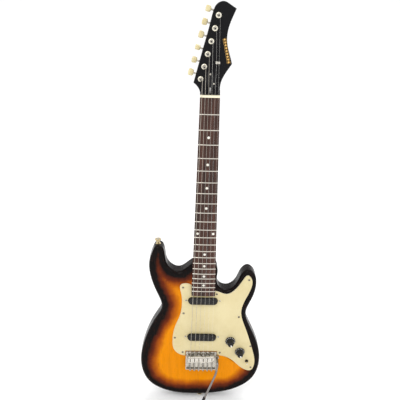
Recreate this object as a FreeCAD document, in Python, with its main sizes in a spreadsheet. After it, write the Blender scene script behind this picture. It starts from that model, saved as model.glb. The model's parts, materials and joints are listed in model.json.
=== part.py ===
"""A solid-body electric guitar with a tremolo bridge, as separate pieces.

Frame: +Z up along the neck, the front faces -Y, X = 0 is the centre line and +X the treble side.
Y = 0 is half the body's thickness deep. The origin is the outer face of the end strap button.
"""
import FreeCAD, Part
import math
import os
import re
from FreeCAD import Placement, Rotation, Vector

doc = FreeCAD.newDocument("Guitar")
sheet = doc.addObject("Spreadsheet::Sheet", "sizes")

SIZES = {
    # body
    "body_width": 303, "body_thickness": 42, "body_edge": 8, "tail_length": 131.3, "strap_height": 12,
    "horn_radius": 13,
    # scale, neck and fingerboard
    "scale_length": 647.7, "nut_width": 42, "end_width": 56.6, "board_thickness": 5,
    "board_radius": 305, "board_overhang": 13, "heel_thickness": 20.4, "heel_length": 76,
    "shaft_depth": 16, "pocket_depth": 16, "head_thickness": 14, "head_drop": 7.4,
    "fret_width": 2.4, "fret_height": 1.1, "fret_tang": 1.6, "dot_radius": 3, "dot_depth": 1.6,
    "nut_length": 4.5, "volute_length": 34, "nut_rise": 2.4, "rod_radius": 2.4,
    # strings
    "nut_spread": 34.5, "bridge_spread": 54.5, "nut_action": 1.7, "bridge_action": 5.2,
    "string_gap": 0.05,
    # tuners
    "tuner_pitch": 26.5, "first_tuner": 36, "post_radius": 3, "post_length": 17,
    "bushing_radius": 5.5, "wheel_radius": 4.4, "wheel_thickness": 3.2, "worm_radius": 1.7,
    "housing_width": 13, "housing_height": 8.4, "housing_room": 0.3, "housing_wall": 1.2,
    "button_reach": 23, "button_width": 15, "button_thickness": 7, "running_gap": 0.05,
    # pickguard and pickups
    "guard_thickness": 2.5, "pickup_length": 70, "pickup_width": 18, "pickup_height": 17,
    "pickup_rise": 5.5, "pickup_gap": 0.5, "cover_wall": 1.2, "pickup_ear": 6,
    "neck_pickup_gap": 16.5, "bridge_pickup_gap": 48.5, "cavity_margin": 3,
    # controls
    "knob_skirt_radius": 12.5, "knob_radius": 7.5, "knob_height": 16.5, "skirt_height": 3.5,
    "pot_radius": 12, "pot_height": 10, "shaft_radius": 3, "knob_lift": 1.2,
    "switch_width": 12, "switch_length": 13, "switch_height": 15, "lever_radius": 1.5, "lever_length": 11,
    "jack_height": 106, "jack_bore": 3.25, "jack_sleeve": 4.75, "jack_length": 26, "cup_radius": 11,
    "cup_rim": 1.8,
    # tremolo
    "plate_width": 78, "plate_length": 50, "plate_thickness": 2.4, "plate_lift": 1.6, "plate_wall": 6,
    "block_width": 66, "block_thickness": 13, "block_depth": 38, "spring_depth": 9, "slot_gap": 9,
    "lug_offset": 1.5, "lug_radius": 4.6, "arm_drop": 10, "pivot_spread": 56.1, "saddle_back": 2.2,
    "saddle_width": 10.4, "saddle_length": 17, "saddle_thickness": 2.2,
    "spring_pitch": 18, "spring_radius": 3.6, "spring_wire": 0.6, "claw_width": 60,
    "arm_radius": 2.75, "arm_rise": 24, "arm_reach": 118,
    # covers and plates
    "plate_metal": 1.6, "neck_plate_width": 51, "neck_plate_length": 64,
    "cover_width": 92, "cover_length": 168, "cover_thickness": 2,
    "rear_width": 74, "rear_depth": 16, "strap_radius": 7.5,
}
for row, (alias, number) in enumerate(SIZES.items(), start=1):
    sheet.set("A%d" % row, alias.replace("_", " "))
    sheet.set("B%d" % row, str(number))
    sheet.setAlias("B%d" % row, alias)
doc.recompute()

# The outline is drawn at these sizes and stretches to the ones in the sheet.
DRAWN_WIDTH = 303.0
DRAWN_TAIL = 131.3
DRAWN_NECK = 250.7
DRAWN_SADDLE = 143.3
HORN_CENTRE = (-109, 424.5)
OUTLINE_SPANS = 4
FRETS = 22
STRINGS = 6
STRING_RADII = [0.53, 0.42, 0.31, 0.20, 0.15, 0.12]
DOT_FRETS = [3, 5, 7, 9, 15, 17, 19, 21]
GEAR_TEETH = 14
SADDLE_STEPS = [3.4, 2.6, 1.8, 3.0, 1.6, 0.6]
BUTTON_TURNS = [20, -35, 60, 10, -20, 40]

# Levels and places, as formulas of the sheet's sizes.
FRONT = "(-body_thickness / 2)"
BACK = "(body_thickness / 2)"
SADDLE = "(strap_height + tail_length)"
NUT = "(strap_height + tail_length + scale_length)"
BOARD_END = "(%s - scale_length * (1 - 2 ^ (-22 / 12)) - board_overhang)" % NUT
BLOCK_EDGE = "(%s + heel_length + 6)" % BOARD_END
FLOOR = "(pocket_depth - body_thickness / 2)"
BOARD_BACK = "(%s - heel_thickness)" % FLOOR
BOARD_FACE = "(%s - board_thickness)" % BOARD_BACK
HEAD_FACE = "(%s + head_drop)" % BOARD_BACK
HEAD_BACK = "(%s + head_thickness)" % HEAD_FACE
NECK_PICKUP = "(%s - neck_pickup_gap)" % BOARD_END
BRIDGE_PICKUP = "(%s + bridge_pickup_gap)" % SADDLE
PICKUP_SPAN = "(pickup_length + 2 * pickup_ear)"
PLATE_BACK = "(%s - plate_lift)" % FRONT
PLATE_FACE = "(%s - plate_thickness)" % PLATE_BACK
PIVOT = "(%s + 2)" % SADDLE
PLATE_TOP = "(%s + 4.5)" % SADDLE
BLOCK_TOP = "(%s - 17)" % SADDLE
ARM_X = "(plate_width / 2 + lug_offset)"
ARM_Z = "(%s - arm_drop)" % SADDLE
STRING_AT_NUT = "(%s - nut_action)" % BOARD_FACE
STRING_AT_SADDLE = "(%s - bridge_action)" % BOARD_FACE

AXES = {
    "z": Rotation(),
    "x": Rotation(Vector(0, 1, 0), 90),
    "-x": Rotation(Vector(0, 1, 0), -90),
    "y": Rotation(Vector(1, 0, 0), -90),
    "-y": Rotation(Vector(1, 0, 0), 90),
}


def formula(text):
    """Turn words with an underscore into the sheet's aliases."""
    return re.sub(r"\b([a-z]+(?:_[a-z]+)+)\b", r"sizes.\1", str(text))


def value(text):
    """Work out a formula of the sheet's sizes."""
    return float(sheet.evalExpression(formula(text)))


def bind(thing, **sizes):
    """Bind an object's properties to formulas; x, y and z stand for its place."""
    for name, text in sizes.items():
        target = "Placement.Base." + name if name in "xyz" else name
        thing.setExpression(target, formula(text))
    return thing


def box(name, length, depth, height, x, y, z):
    """A block from its lowest corner."""
    block = doc.addObject("Part::Box", name)
    return bind(block, Length=length, Width=depth, Height=height, x=x, y=y, z=z)


def centred_box(name, length, depth, height, y, z, x="0"):
    """A block centred on x, from y back and from z up."""
    return box(name, length, depth, height, "(%s) - (%s) / 2" % (x, length), y, z)


def rod(name, radius, length, x, y, z, axis="z"):
    """A cylinder that starts at a point and runs along an axis."""
    cylinder = doc.addObject("Part::Cylinder", name)
    cylinder.Placement = Placement(Vector(), AXES[axis] if isinstance(axis, str) else axis)
    return bind(cylinder, Radius=radius, Height=length, x=x, y=y, z=z)


def cone(name, first, second, length, x, y, z, axis="z"):
    """A cone frustum that starts at a point and runs along an axis."""
    taper = doc.addObject("Part::Cone", name)
    taper.Placement = Placement(Vector(), AXES[axis] if isinstance(axis, str) else axis)
    return bind(taper, Radius1=first, Radius2=second, Height=length, x=x, y=y, z=z)


def fuse(name, pieces):
    """One solid from several that overlap."""
    union = doc.addObject("Part::MultiFuse", name)
    union.Shapes = pieces
    return union


def cut(name, base, tool):
    """A piece with another taken out of it."""
    result = doc.addObject("Part::Cut", name)
    result.Base = base
    result.Tool = tool
    return result


def common(name, pieces):
    """What several pieces share."""
    shared = doc.addObject("Part::MultiCommon", name)
    shared.Shapes = pieces
    return shared


def group(name, pieces):
    """Several separate solids kept together."""
    compound = doc.addObject("Part::Compound", name)
    compound.Links = pieces
    return compound


def feature(name, shape):
    """A piece whose shape is made by the functions below."""
    piece = doc.addObject("Part::Feature", name)
    piece.Shape = shape
    return piece


def screw(name, radius, length, head_radius, head_height, x, y, z, axis="y"):
    """A countersunk screw whose head's face is at the point; the axis runs down the shank."""
    head = cone(name + "_head", head_radius, radius, head_height, x, y, z, axis)
    shank = rod(name + "_shank", radius, length, x, y, z, axis)
    return fuse(name, [head, shank])


def smooth_loop(points):
    """A closed smooth outline through points, in equal spans."""
    whole = Part.BSplineCurve()
    whole.interpolate([Vector(x, z, 0) for x, z in points], PeriodicFlag=True)
    step = (whole.LastParameter - whole.FirstParameter) / OUTLINE_SPANS
    spans = []
    for index in range(OUTLINE_SPANS):
        span = whole.copy()
        start = whole.FirstParameter + index * step
        span.segment(start, start + step)
        spans.append(span)
    return spans


def cornered_loop(runs):
    """A closed outline of smooth runs that meet in corners."""
    spans = []
    for run in runs:
        span = Part.BSplineCurve()
        span.interpolate([Vector(x, z, 0) for x, z in run])
        spans.append(span)
    return spans


def outline_body(name, spans, first, depth):
    """A PartDesign body: a closed outline in XZ, from the level first back by depth."""
    piece = doc.addObject("PartDesign::Body", name)
    sketch = piece.newObject("Sketcher::SketchObject", name + "_outline")
    plane = [item for item in piece.Origin.OriginFeatures if item.Role == "XZ_Plane"][0]
    sketch.AttachmentSupport = (plane, [""])
    sketch.MapMode = "FlatFace"
    sketch.setExpression("AttachmentOffset.Base.z", formula("-(%s)" % first))
    for span in spans:
        sketch.addGeometry(span, False)
    pad = piece.newObject("PartDesign::Pad", name + "_pad")
    pad.Profile = sketch
    pad.Reversed = True
    pad.setExpression("Length", formula(depth))
    doc.recompute()
    return piece, pad


def round_rims(piece, base, name, radius):
    """Round the front and back rims of an outline body."""
    rims = []
    for index, edge in enumerate(base.Shape.Edges, start=1):
        if edge.BoundBox.YLength < 1e-6:
            rims.append("Edge%d" % index)
    fillet = piece.newObject("PartDesign::Fillet", name)
    fillet.Base = (base, rims)
    fillet.setExpression("Radius", formula(radius))
    doc.recompute()
    return fillet


def stretch(x, z):
    """Move a drawn body point to where the sheet's width, tail and scale put it."""
    saddle = value(SADDLE)
    if z < DRAWN_SADDLE:
        height = saddle + (z - DRAWN_SADDLE) * value("tail_length") / DRAWN_TAIL
    else:
        height = saddle + (z - DRAWN_SADDLE) * (value(BLOCK_EDGE) - saddle) / DRAWN_NECK
    return x * value("body_width") / DRAWN_WIDTH, height


def arc_points(x, z, radius, angles):
    """Points of a drawn arc round a centre, at angles in degrees."""
    return [(x + radius * math.cos(math.radians(a)), z + radius * math.sin(math.radians(a))) for a in angles]


def prism(points, first, depth):
    """A straight-sided solid in XZ from a list of corners, from the level first back by depth."""
    corners = [Vector(x, first, z) for x, z in points]
    face = Part.Face(Part.makePolygon(corners + corners[:1]))
    return face.extrude(Vector(0, depth, 0))


# ---------------------------------------------------------------- body
def body_outline():
    """The body's outline, clockwise from the left of the lower bout."""
    horn = value("horn_radius")
    points = [(-153, 106), (-143, 176), (-116, 239), (-101, 272), (-111, 308), (-128, 357), (-131, 395)]
    points += arc_points(*HORN_CENTRE, horn, [170, 130, 90, 50, 10])
    points += [(-87, 388), (-61, 370.5), (-38, 384), (-24, 393.5), (0, 394), (22, 393.5), (31.5, 383)]
    points += [(32, 350), (40, 329), (57, 323), (78, 338)]
    points += arc_points(107, 365.5, horn, [140, 90, 40])
    points += [(128.5, 336), (119, 296), (107.5, 260), (117, 226), (141, 171), (150, 119), (136, 66)]
    points += [(80, 25), (0, 12), (-80, 18.5), (-133, 50)]
    return [stretch(x, z) for x, z in points]


def half_width(z):
    """Half the fingerboard's width at a height, from the nut's to the end's."""
    share = (value(NUT) - z) / (value(NUT) - value(BOARD_END))
    return (value("nut_width") + (value("end_width") - value("nut_width")) * share) / 2


wood, wood_pad = outline_body("body_wood", smooth_loop(body_outline()), FRONT, "body_thickness")
round_rims(wood, wood_pad, "body_rims", "body_edge")

CONTROL_ROUTE = [(50, 205), (78, 214), (100, 176), (126, 148), (130, 106), (104, 102), (50, 140)]
control_route = feature("control_route", prism([stretch(x, z) for x, z in CONTROL_ROUTE],
                                               value(FRONT) - 1, value("body_thickness") - 7))
pocket_low = value(BOARD_END) + 6
pocket_high = value(BLOCK_EDGE) + 60
pocket_shape = prism([(-half_width(pocket_low), pocket_low), (half_width(pocket_low), pocket_low),
                      (half_width(pocket_high), pocket_high), (-half_width(pocket_high), pocket_high)],
                     value(FRONT) - 5, value("pocket_depth") + 5)
neck_pocket = feature("neck_pocket", pocket_shape)


def pickup_route(name, centre):
    """The routed space under one pickup, open to the front."""
    return centred_box(name, PICKUP_SPAN + " + 4 * cavity_margin", "pickup_height + 5",
                       "pickup_width + 2 * cavity_margin", FRONT + " - 1",
                       "%s - pickup_width / 2 - cavity_margin" % centre)


routes = [control_route, neck_pocket]
routes.append(pickup_route("neck_pickup_route", NECK_PICKUP))
routes.append(pickup_route("bridge_pickup_route", BRIDGE_PICKUP))
# channels for the wires: neck pickup to bridge pickup to the controls, and the earth wire to the claw
routes.append(rod("pickup_channel", "4", "%s - %s" % (NECK_PICKUP, BRIDGE_PICKUP), "24",
                  "%s + 12" % FRONT, BRIDGE_PICKUP))
routes.append(rod("control_channel", "4", "50", "24", "%s + 12" % FRONT, BRIDGE_PICKUP, "x"))
routes.append(rod("earth_channel", "2.5", "40", "30", "%s - 10" % BACK, "%s + 22" % SADDLE, "x"))
# the block's slot goes right through, and the springs' room is open to the back
SLOT_LOW = "%s - block_thickness - slot_gap" % BLOCK_TOP
routes.append(centred_box("block_slot", "block_width + 6", "body_thickness + 2",
                          "block_thickness + 2 * slot_gap", FRONT + " - 1", SLOT_LOW))
routes.append(centred_box("spring_room", "rear_width", "rear_depth + 1", "cover_length - 16",
                          "%s - rear_depth" % BACK, SLOT_LOW))
jack_x = stretch(150.6, 119)[0]
routes.append(rod("jack_route", "cup_radius - 1.5", "60", "%.4f - 60" % jack_x, "0", "jack_height", "x"))
routes.append(rod("jack_seat", "cup_radius + cup_rim", "20", "%.4f - 3" % jack_x, "0", "jack_height", "x"))
all_routes = fuse("all_routes", routes)
routed_body = cut("routed_body", wood, all_routes)

# ---------------------------------------------------------------- neck
def d_profile(z, half, top, depth):
    """A neck section: flat on top with an elliptical back."""
    ellipse = Part.Ellipse(Vector(0, 0, 0), max(half, depth), min(half, depth))
    across = Vector(1, 0, 0) if half >= depth else Vector(0, 1, 0)
    turn = Rotation(Vector(1, 0, 0), across)
    arc = Part.ArcOfEllipse(ellipse, 0, math.pi) if half >= depth else None
    if arc is None:
        arc = Part.ArcOfEllipse(ellipse, -math.pi / 2, math.pi / 2)
    edge = arc.toShape()
    edge.Placement = Placement(Vector(0, top, z), turn)
    ends = [edge.Vertexes[0].Point, edge.Vertexes[-1].Point]
    return Part.Wire([edge, Part.LineSegment(ends[1], ends[0]).toShape()])


nut_z = value(NUT)
end_z = value(BOARD_END)
heel_z = end_z + 6
heel_top = heel_z + value("heel_length")
board_back = value(BOARD_BACK)
depth = value("shaft_depth")
shaft_top = nut_z + value("nut_length")
shaft = Part.makeLoft([d_profile(shaft_top, half_width(nut_z), board_back, depth),
                       d_profile(heel_z, half_width(heel_z), board_back, depth + 2)], True, True)
heel = prism([(-half_width(heel_z), heel_z), (half_width(heel_z), heel_z),
              (half_width(heel_top), heel_top), (-half_width(heel_top), heel_top)],
             board_back, value("heel_thickness"))
heel_edge = [edge for edge in heel.Edges
             if abs(edge.BoundBox.ZMin - heel_top) < 0.1 and edge.BoundBox.YMin > board_back + 1]
heel = heel.makeFillet(3, heel_edge)


def head_runs():
    """The headstock's outline in runs: foot, bass corner, tip, treble corner and back to the foot."""
    foot = value("nut_width") / 2 - 0.4
    bass = [(-foot, 2), (-foot - 0.2, 6), (-24.3, 16.1), (-35.4, 27.7)]
    row = [(-35.4, 27.7), (-15.9, 103.8), (-4, 150.2), (2.3, 175.1), (6.3, 183.4), (13.2, 189.3), (20, 191.4),
           (26.5, 190.7), (33, 187.2), (40.5, 182.6), (48.3, 177.8)]
    hollow = [(48.3, 177.8), (41.8, 162.6), (36, 147.3), (32.4, 131.9), (31.5, 119.2), (34.6, 99.5),
              (39.9, 82.4), (43.9, 68.4)]
    treble = [(43.9, 68.4), (33.8, 53.2), (25.4, 38.2), (21.6, 26.2), (foot, 15.7), (foot, 2)]
    runs = [bass, row, hollow, treble, [(foot, 2), (-foot, 2)]]
    return [[(x, nut_z + z) for x, z in run] for run in runs]


head, head_pad = outline_body("headstock", cornered_loop(head_runs()), HEAD_FACE, "head_thickness")
round_rims(head, head_pad, "headstock_rims", "1.5")
# the wood rises from the headstock's face to the nut's seat
slope = Part.Face(Part.makePolygon([Vector(0, board_back, nut_z + value("nut_length")),
                                    Vector(0, board_back, nut_z - 8),
                                    Vector(0, value(HEAD_FACE) + 3, nut_z - 8),
                                    Vector(0, value(HEAD_FACE) + 3, nut_z + 14),
                                    Vector(0, value(HEAD_FACE), nut_z + 14),
                                    Vector(0, board_back, nut_z + value("nut_length"))]))
slope = slope.extrude(Vector(value("nut_width"), 0, 0))
slope.translate(Vector(-value("nut_width") / 2, 0, 0))
# behind the nut the shaft deepens to meet the headstock's back
volute_low = nut_z - value("volute_length")
volute_depth = value(HEAD_BACK) - board_back - 0.6
volute = Part.makeLoft([d_profile(volute_low, half_width(volute_low) - 0.4, board_back, depth - 0.6),
                        d_profile(shaft_top, half_width(nut_z) - 0.2, board_back, volute_depth)], True, True)
neck_shape = shaft.fuse([heel, slope, volute])
neck_shaft = feature("neck_shaft", neck_shape)

# the nut's seat, the tuner holes, the truss rod's channel and its adjusting pocket
TUNER_LINE = Vector(33.2, 0, 129.5).normalize()
TUNER_ACROSS = Vector(-TUNER_LINE.z, 0, TUNER_LINE.x)
FIRST_POST = Vector(-20.5, 0, nut_z + value("first_tuner"))
head_face = value(HEAD_FACE)
head_back = value(HEAD_BACK)
ACROSS = Rotation(Vector(0, 0, 1), TUNER_ACROSS)


def post_place(index):
    """Where a tuner post's axis stands; the first is the lowest string's."""
    return FIRST_POST + TUNER_LINE * (index * value("tuner_pitch"))


def on_head(name, radius, length, index, level, along=0.0, across=0.0, axis="y"):
    """A cylinder placed from a tuner post, along the row and across it."""
    base = post_place(index) + TUNER_LINE * along + TUNER_ACROSS * across
    return rod(name, radius, length, "%.5f" % base.x, level, "%.5f" % base.z, axis)


tuner_holes = [on_head("tuner_hole_%d" % (i + 1), "bushing_radius - 1", "head_thickness + 4", i,
                       "%s - 2" % HEAD_FACE) for i in range(STRINGS)]
ROD_LEVEL = "(%s + rod_radius + 1.4)" % HEAD_FACE
rod_channel = rod("rod_channel", "rod_radius", "%s - %s - 4" % (NUT, BOARD_END), "0", ROD_LEVEL,
                  "%s + 16" % BOARD_END)
rod_pocket = centred_box("rod_pocket", "11", "16", "30", "%s - 1" % BOARD_BACK, "%s + 6" % NUT)
neck_cuts = tuner_holes + [rod_channel, rod_pocket]

truss_bar = rod("truss_bar", "rod_radius - 0.05", "%s - %s + 6" % (NUT, BOARD_END), "0", ROD_LEVEL,
                "%s + 16.5" % BOARD_END)
truss_nut = rod("truss_nut", "rod_radius + 1", "9", "0", ROD_LEVEL, "%s + 19" % NUT)
truss_hex = rod("truss_hex", "2", "10", "0", ROD_LEVEL, "%s + 20" % NUT)
truss_rod = cut("truss_rod", fuse("truss_rod_solid", [truss_bar, truss_nut]), truss_hex)
channel_pass = rod("channel_pass", "rod_radius", "12", "0", ROD_LEVEL, "%s - 2" % NUT)
neck_cuts.append(channel_pass)

# ---------------------------------------------------------------- fingerboard, frets, dots and nut
board_face = value(BOARD_FACE)
board_axis = board_face + value("board_radius")


def board_prism(first, last, depth, spread=0.0):
    """A tapered slab that covers the fingerboard between two heights."""
    low = half_width(first) + spread
    high = half_width(last) + spread
    return prism([(-low, first), (low, first), (high, last), (-high, last)], board_face - 3, depth)


camber = Part.makeCylinder(value("board_radius"), nut_z - end_z + 20, Vector(0, board_axis, end_z - 10))
board_slab = board_prism(end_z, nut_z, value("board_thickness") + 3)
board_raw = feature("board_raw", board_slab.common(camber))


def fret_shape(z):
    """One fret: a domed crown and a tang, bent round the board's camber."""
    half = value("fret_width") / 2
    high = board_face - value("fret_height")
    low = board_face + value("fret_tang")
    crown = Part.Arc(Vector(0, board_face, z - half), Vector(0, high, z), Vector(0, board_face, z + half))
    tang = [Vector(0, board_face, z + half), Vector(0, board_face, z + 0.3), Vector(0, low, z + 0.3),
            Vector(0, low, z - 0.3), Vector(0, board_face, z - 0.3), Vector(0, board_face, z - half)]
    lines = [Part.LineSegment(a, b).toShape() for a, b in zip(tang, tang[1:])]
    face = Part.Face(Part.Wire([crown.toShape()] + lines))
    swing = math.degrees(math.asin((half_width(z) - 0.3) / value("board_radius")))
    centre = Vector(0, board_axis, z)
    face.rotate(centre, Vector(0, 0, 1), -swing)
    return face.revolve(centre, Vector(0, 0, 1), 2 * swing)


fret_places = [nut_z - value("scale_length") * (1 - 2 ** (-n / 12)) for n in range(1, FRETS + 1)]
frets = feature("frets", Part.makeCompound([fret_shape(z) for z in fret_places]))


def between_frets(n):
    """Half way between a fret and the one before it."""
    low = fret_places[n - 1]
    high = nut_z if n == 1 else fret_places[n - 2]
    return (low + high) / 2


dot_spots = [(0.0, between_frets(n)) for n in DOT_FRETS]
dot_spots += [(side * half_width(between_frets(12)) * 0.7, between_frets(12)) for side in (-1, 1)]
dot_pins = [Part.makeCylinder(value("dot_radius"), value("dot_depth") + 3, Vector(x, board_face - 3, z),
                              Vector(0, 1, 0)) for x, z in dot_spots]
dots = feature("position_dots", Part.makeCompound([pin.common(camber) for pin in dot_pins]))
fingerboard = cut("fingerboard_made", cut("board_dotted", board_raw, dots), frets)

nut_block = centred_box("nut_block", "nut_width", "board_thickness + nut_rise", "nut_length",
                        "%s - nut_rise" % BOARD_FACE, NUT)
nut_camber = feature("nut_camber", Part.makeCylinder(value("board_radius"), 20, Vector(
    0, board_axis - value("nut_rise"), nut_z - 5)))
nut_raw = common("nut_raw", [nut_block, nut_camber])

# ---------------------------------------------------------------- strings
STRING_NUT = value(STRING_AT_NUT)
STRING_SADDLE = value(STRING_AT_SADDLE)
saddle_z = value(SADDLE)
block_z = value(BLOCK_TOP) - value("block_thickness") / 2


def spread(index, width):
    """A string's place across a width; the first is the lowest string."""
    return width * (index / (STRINGS - 1) - 0.5)


def saddle_point(index):
    """Where a string leaves its saddle; the thick strings' saddles sit further back."""
    back = value("saddle_back") + SADDLE_STEPS[index]
    return Vector(spread(index, value("bridge_spread")), STRING_SADDLE, saddle_z - back)


def nut_point(index):
    """Where a string passes the nut."""
    return Vector(spread(index, value("nut_spread")), STRING_NUT, nut_z + value("nut_length") / 2)


def post_point(index):
    """Where a string reaches its post."""
    side = value("post_radius") + value("string_gap") + STRING_RADII[index]
    top = head_face - 7.5
    return post_place(index) + TUNER_ACROSS * -side + Vector(0, top, 0)


def tube_path(points, radius):
    """Round bar along straight runs, mitred at each turn."""
    section = Part.Wire([Part.makeCircle(radius, points[0], points[1] - points[0])])
    return Part.makePolygon(points).makePipeShell([section], True, False, 1)


TREE = Vector(14, head_face - 5.4, nut_z + 71)


def string_route(index):
    """The points of one string, from the tremolo block to its post."""
    over = saddle_point(index)
    start = Vector(over.x, value(PLATE_FACE) + 16, block_z)
    lift = Vector(over.x, value(PLATE_FACE) - 2, block_z)
    points = [start, lift, over, nut_point(index)]
    if index >= STRINGS - 2:
        side = (index - STRINGS + 1.5) * 5.4
        points.append(Vector(TREE.x + side, TREE.y, TREE.z))
    points.append(post_point(index))
    return points


string_shapes = [tube_path(string_route(i), STRING_RADII[i]) for i in range(STRINGS)]
strings = feature("strings", Part.makeCompound(string_shapes))
clear_shapes = [tube_path(string_route(i), STRING_RADII[i] + value("string_gap")) for i in range(STRINGS)]
string_room = feature("string_room", Part.makeCompound(clear_shapes))
nut = cut("nut_made", nut_raw, string_room)

tree_post = rod("tree_post", "2.2", "%.4f - (%.4f) - 0.6" % (head_face, TREE.y), "%.4f" % TREE.x,
                "%.4f + 0.6" % TREE.y, "%.4f" % TREE.z, "y")
tree_bar = box("tree_bar", "9", "1.6", "5", "%.4f - 4.5" % TREE.x, "%.4f - 1.85" % TREE.y, "%.4f - 2.5" % TREE.z)
tree_stem = rod("tree_stem", "1.6", "2.4", "%.4f" % TREE.x, "%.4f - 1" % TREE.y, "%.4f" % TREE.z, "y")
tree_screw = screw("tree_screw", "1.1", "18", "2", "1", "%.4f" % TREE.x, "%.4f - 1.85" % TREE.y,
                   "%.4f" % TREE.z)
string_tree = cut("string_tree_made", fuse("tree_solid", [tree_bar, tree_stem, tree_post]), tree_screw)

# ---------------------------------------------------------------- truss rod cover
cover_drawn = [(-6.5, 51), (5.5, 51), (11.5, 35), (13, 19), (-4, 19), (-9.5, 34)]
rod_cover_shape = prism([(x, nut_z + z) for x, z in cover_drawn], head_face - 1.8, 1.8)
rod_cover_rim = [edge for edge in rod_cover_shape.Edges if edge.BoundBox.YMax < head_face - 1.7]
rod_cover_raw = feature("rod_cover_raw", rod_cover_shape.makeChamfer(0.7, rod_cover_rim))
rod_cover_screws = [screw("rod_cover_screw_%d" % n, "1.1", "9", "2.2", "1.1", x, "%s - 1.8" % HEAD_FACE,
                          "%s + %s" % (NUT, z)) for n, (x, z) in enumerate([("-0.7", "46.5"), ("7.5", "27")])]

# ---------------------------------------------------------------- tuners
GAP = "running_gap"
WHEEL_LEVEL = "(%s + housing_wall + 0.9)" % HEAD_BACK
wheel_level = value(WHEEL_LEVEL)
worm_offset = value("wheel_radius") + value("worm_radius") + 0.35
worm_level = wheel_level + value("wheel_thickness") / 2


def wheel_shape(index):
    """A worm wheel with real teeth, round its post."""
    outer = value("wheel_radius")
    root = outer - 1.0
    points = []
    for tooth in range(GEAR_TEETH):
        for share, radius in ((0.0, root), (0.25, outer), (0.5, outer), (0.75, root)):
            angle = 2 * math.pi * (tooth + share) / GEAR_TEETH
            points.append((radius * math.cos(angle), radius * math.sin(angle)))
    wheel = prism(points, wheel_level, value("wheel_thickness"))
    wheel.translate(post_place(index))
    return wheel


def post_piece(index):
    """A string post: a shaft with its string hole and waist, and its worm wheel."""
    base = post_place(index)
    radius = value("post_radius")
    top = head_face - value("post_length") + 6
    shaft = Part.makeCylinder(radius, wheel_level + value("wheel_thickness") - top, base + Vector(0, top, 0),
                              Vector(0, 1, 0))
    ring = Part.makeCylinder(radius + 1, 2.4, base + Vector(0, head_face - 8.7, 0), Vector(0, 1, 0))
    waist = ring.cut(Part.makeCylinder(radius - 0.45, 2.4, base + Vector(0, head_face - 8.7, 0),
                                       Vector(0, 1, 0)))
    middle = base + Vector(0, head_face - 7.5, 0)
    hole = Part.makeCylinder(0.8, 12, middle - TUNER_LINE * 6, TUNER_LINE)
    stub = Part.makeCylinder(radius - 0.8, 1.0, base + Vector(0, wheel_level + value("wheel_thickness"), 0),
                             Vector(0, 1, 0))
    return shaft.fuse([wheel_shape(index), stub]).cut(waist.fuse(hole))


def worm_line(index):
    """A point on a button shaft's axis, level with its post."""
    return post_place(index) + TUNER_LINE * worm_offset + Vector(0, worm_level, 0)


def button_piece(index):
    """A tuner button on its shaft, with the worm as rings that stand clear of the wheel."""
    centre = worm_line(index)
    inner = value("housing_width") / 2
    reach = value("button_reach")
    shaft = Part.makeCylinder(1.9, reach + inner - 4, centre - TUNER_ACROSS * (inner + 0.8), TUNER_ACROSS)
    worm = shaft
    for ring in range(4):
        start = centre + TUNER_ACROSS * (ring * 2.2 - 4.0)
        worm = worm.fuse(Part.makeCylinder(value("worm_radius") + 0.1, 1.1, start, TUNER_ACROSS))
    collar = Part.makeCylinder(3, 2.4, centre + TUNER_ACROSS * (inner + 0.3), TUNER_ACROSS)
    neck_piece = Part.makeCone(2.6, 3.4, reach - inner - 8, centre + TUNER_ACROSS * (inner + 2.7), TUNER_ACROSS)
    button = Part.makeBox(value("button_thickness"), value("button_width"), 12)
    button.translate(Vector(-value("button_thickness") / 2, -value("button_width") / 2, reach - 6))
    long_edges = [edge for edge in button.Edges if edge.BoundBox.YLength < 0.1]
    button = button.makeFillet(2.2, long_edges)
    turn = Rotation(Vector(0, 0, 1), TUNER_ACROSS)
    twist = Rotation(TUNER_ACROSS, BUTTON_TURNS[index])
    button.Placement = Placement(centre, twist.multiply(turn))
    return worm.fuse([collar, neck_piece, button])


def row_box(width, depth, first, last, level):
    """A block along the tuner row, from first to last past the lowest post, centred across it."""
    block = Part.makeBox(width, depth, last - first, Vector(-width / 2, 0, first))
    block.Placement = Placement(FIRST_POST + Vector(0, level, 0), row_turn)
    return block


HOUSING_LOW = -(value("wheel_radius") + value("housing_room") + value("housing_wall"))
HOUSING_HIGH = worm_offset + value("worm_radius") + 0.1 + value("housing_room") + value("housing_wall")
SCREW_STEP = (HOUSING_LOW + HOUSING_HIGH + value("tuner_pitch")) / 2


def housing_shell(index):
    """A gear housing: a thin shell open towards the headstock."""
    wall = value("housing_wall")
    width = value("housing_width")
    height = value("housing_height")
    start = index * value("tuner_pitch")
    outer = row_box(width, height, start + HOUSING_LOW, start + HOUSING_HIGH, head_back)
    inner = row_box(width - 2 * wall, height - 2 * wall, start + HOUSING_LOW + wall, start + HOUSING_HIGH - wall,
                    head_back + wall)
    return outer, inner


def housing_bores(index):
    """The holes for one post and one button shaft."""
    radius = value("post_radius") + value("running_gap")
    width = value("housing_width")
    post_hole = Part.makeCylinder(radius, 4, post_place(index) + Vector(0, head_back - 2, 0), Vector(0, 1, 0))
    centre = worm_line(index)
    run = Part.makeCylinder(1.9 + value("running_gap"), 2 * width, centre - TUNER_ACROSS * width, TUNER_ACROSS)
    return [post_hole, run]


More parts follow.
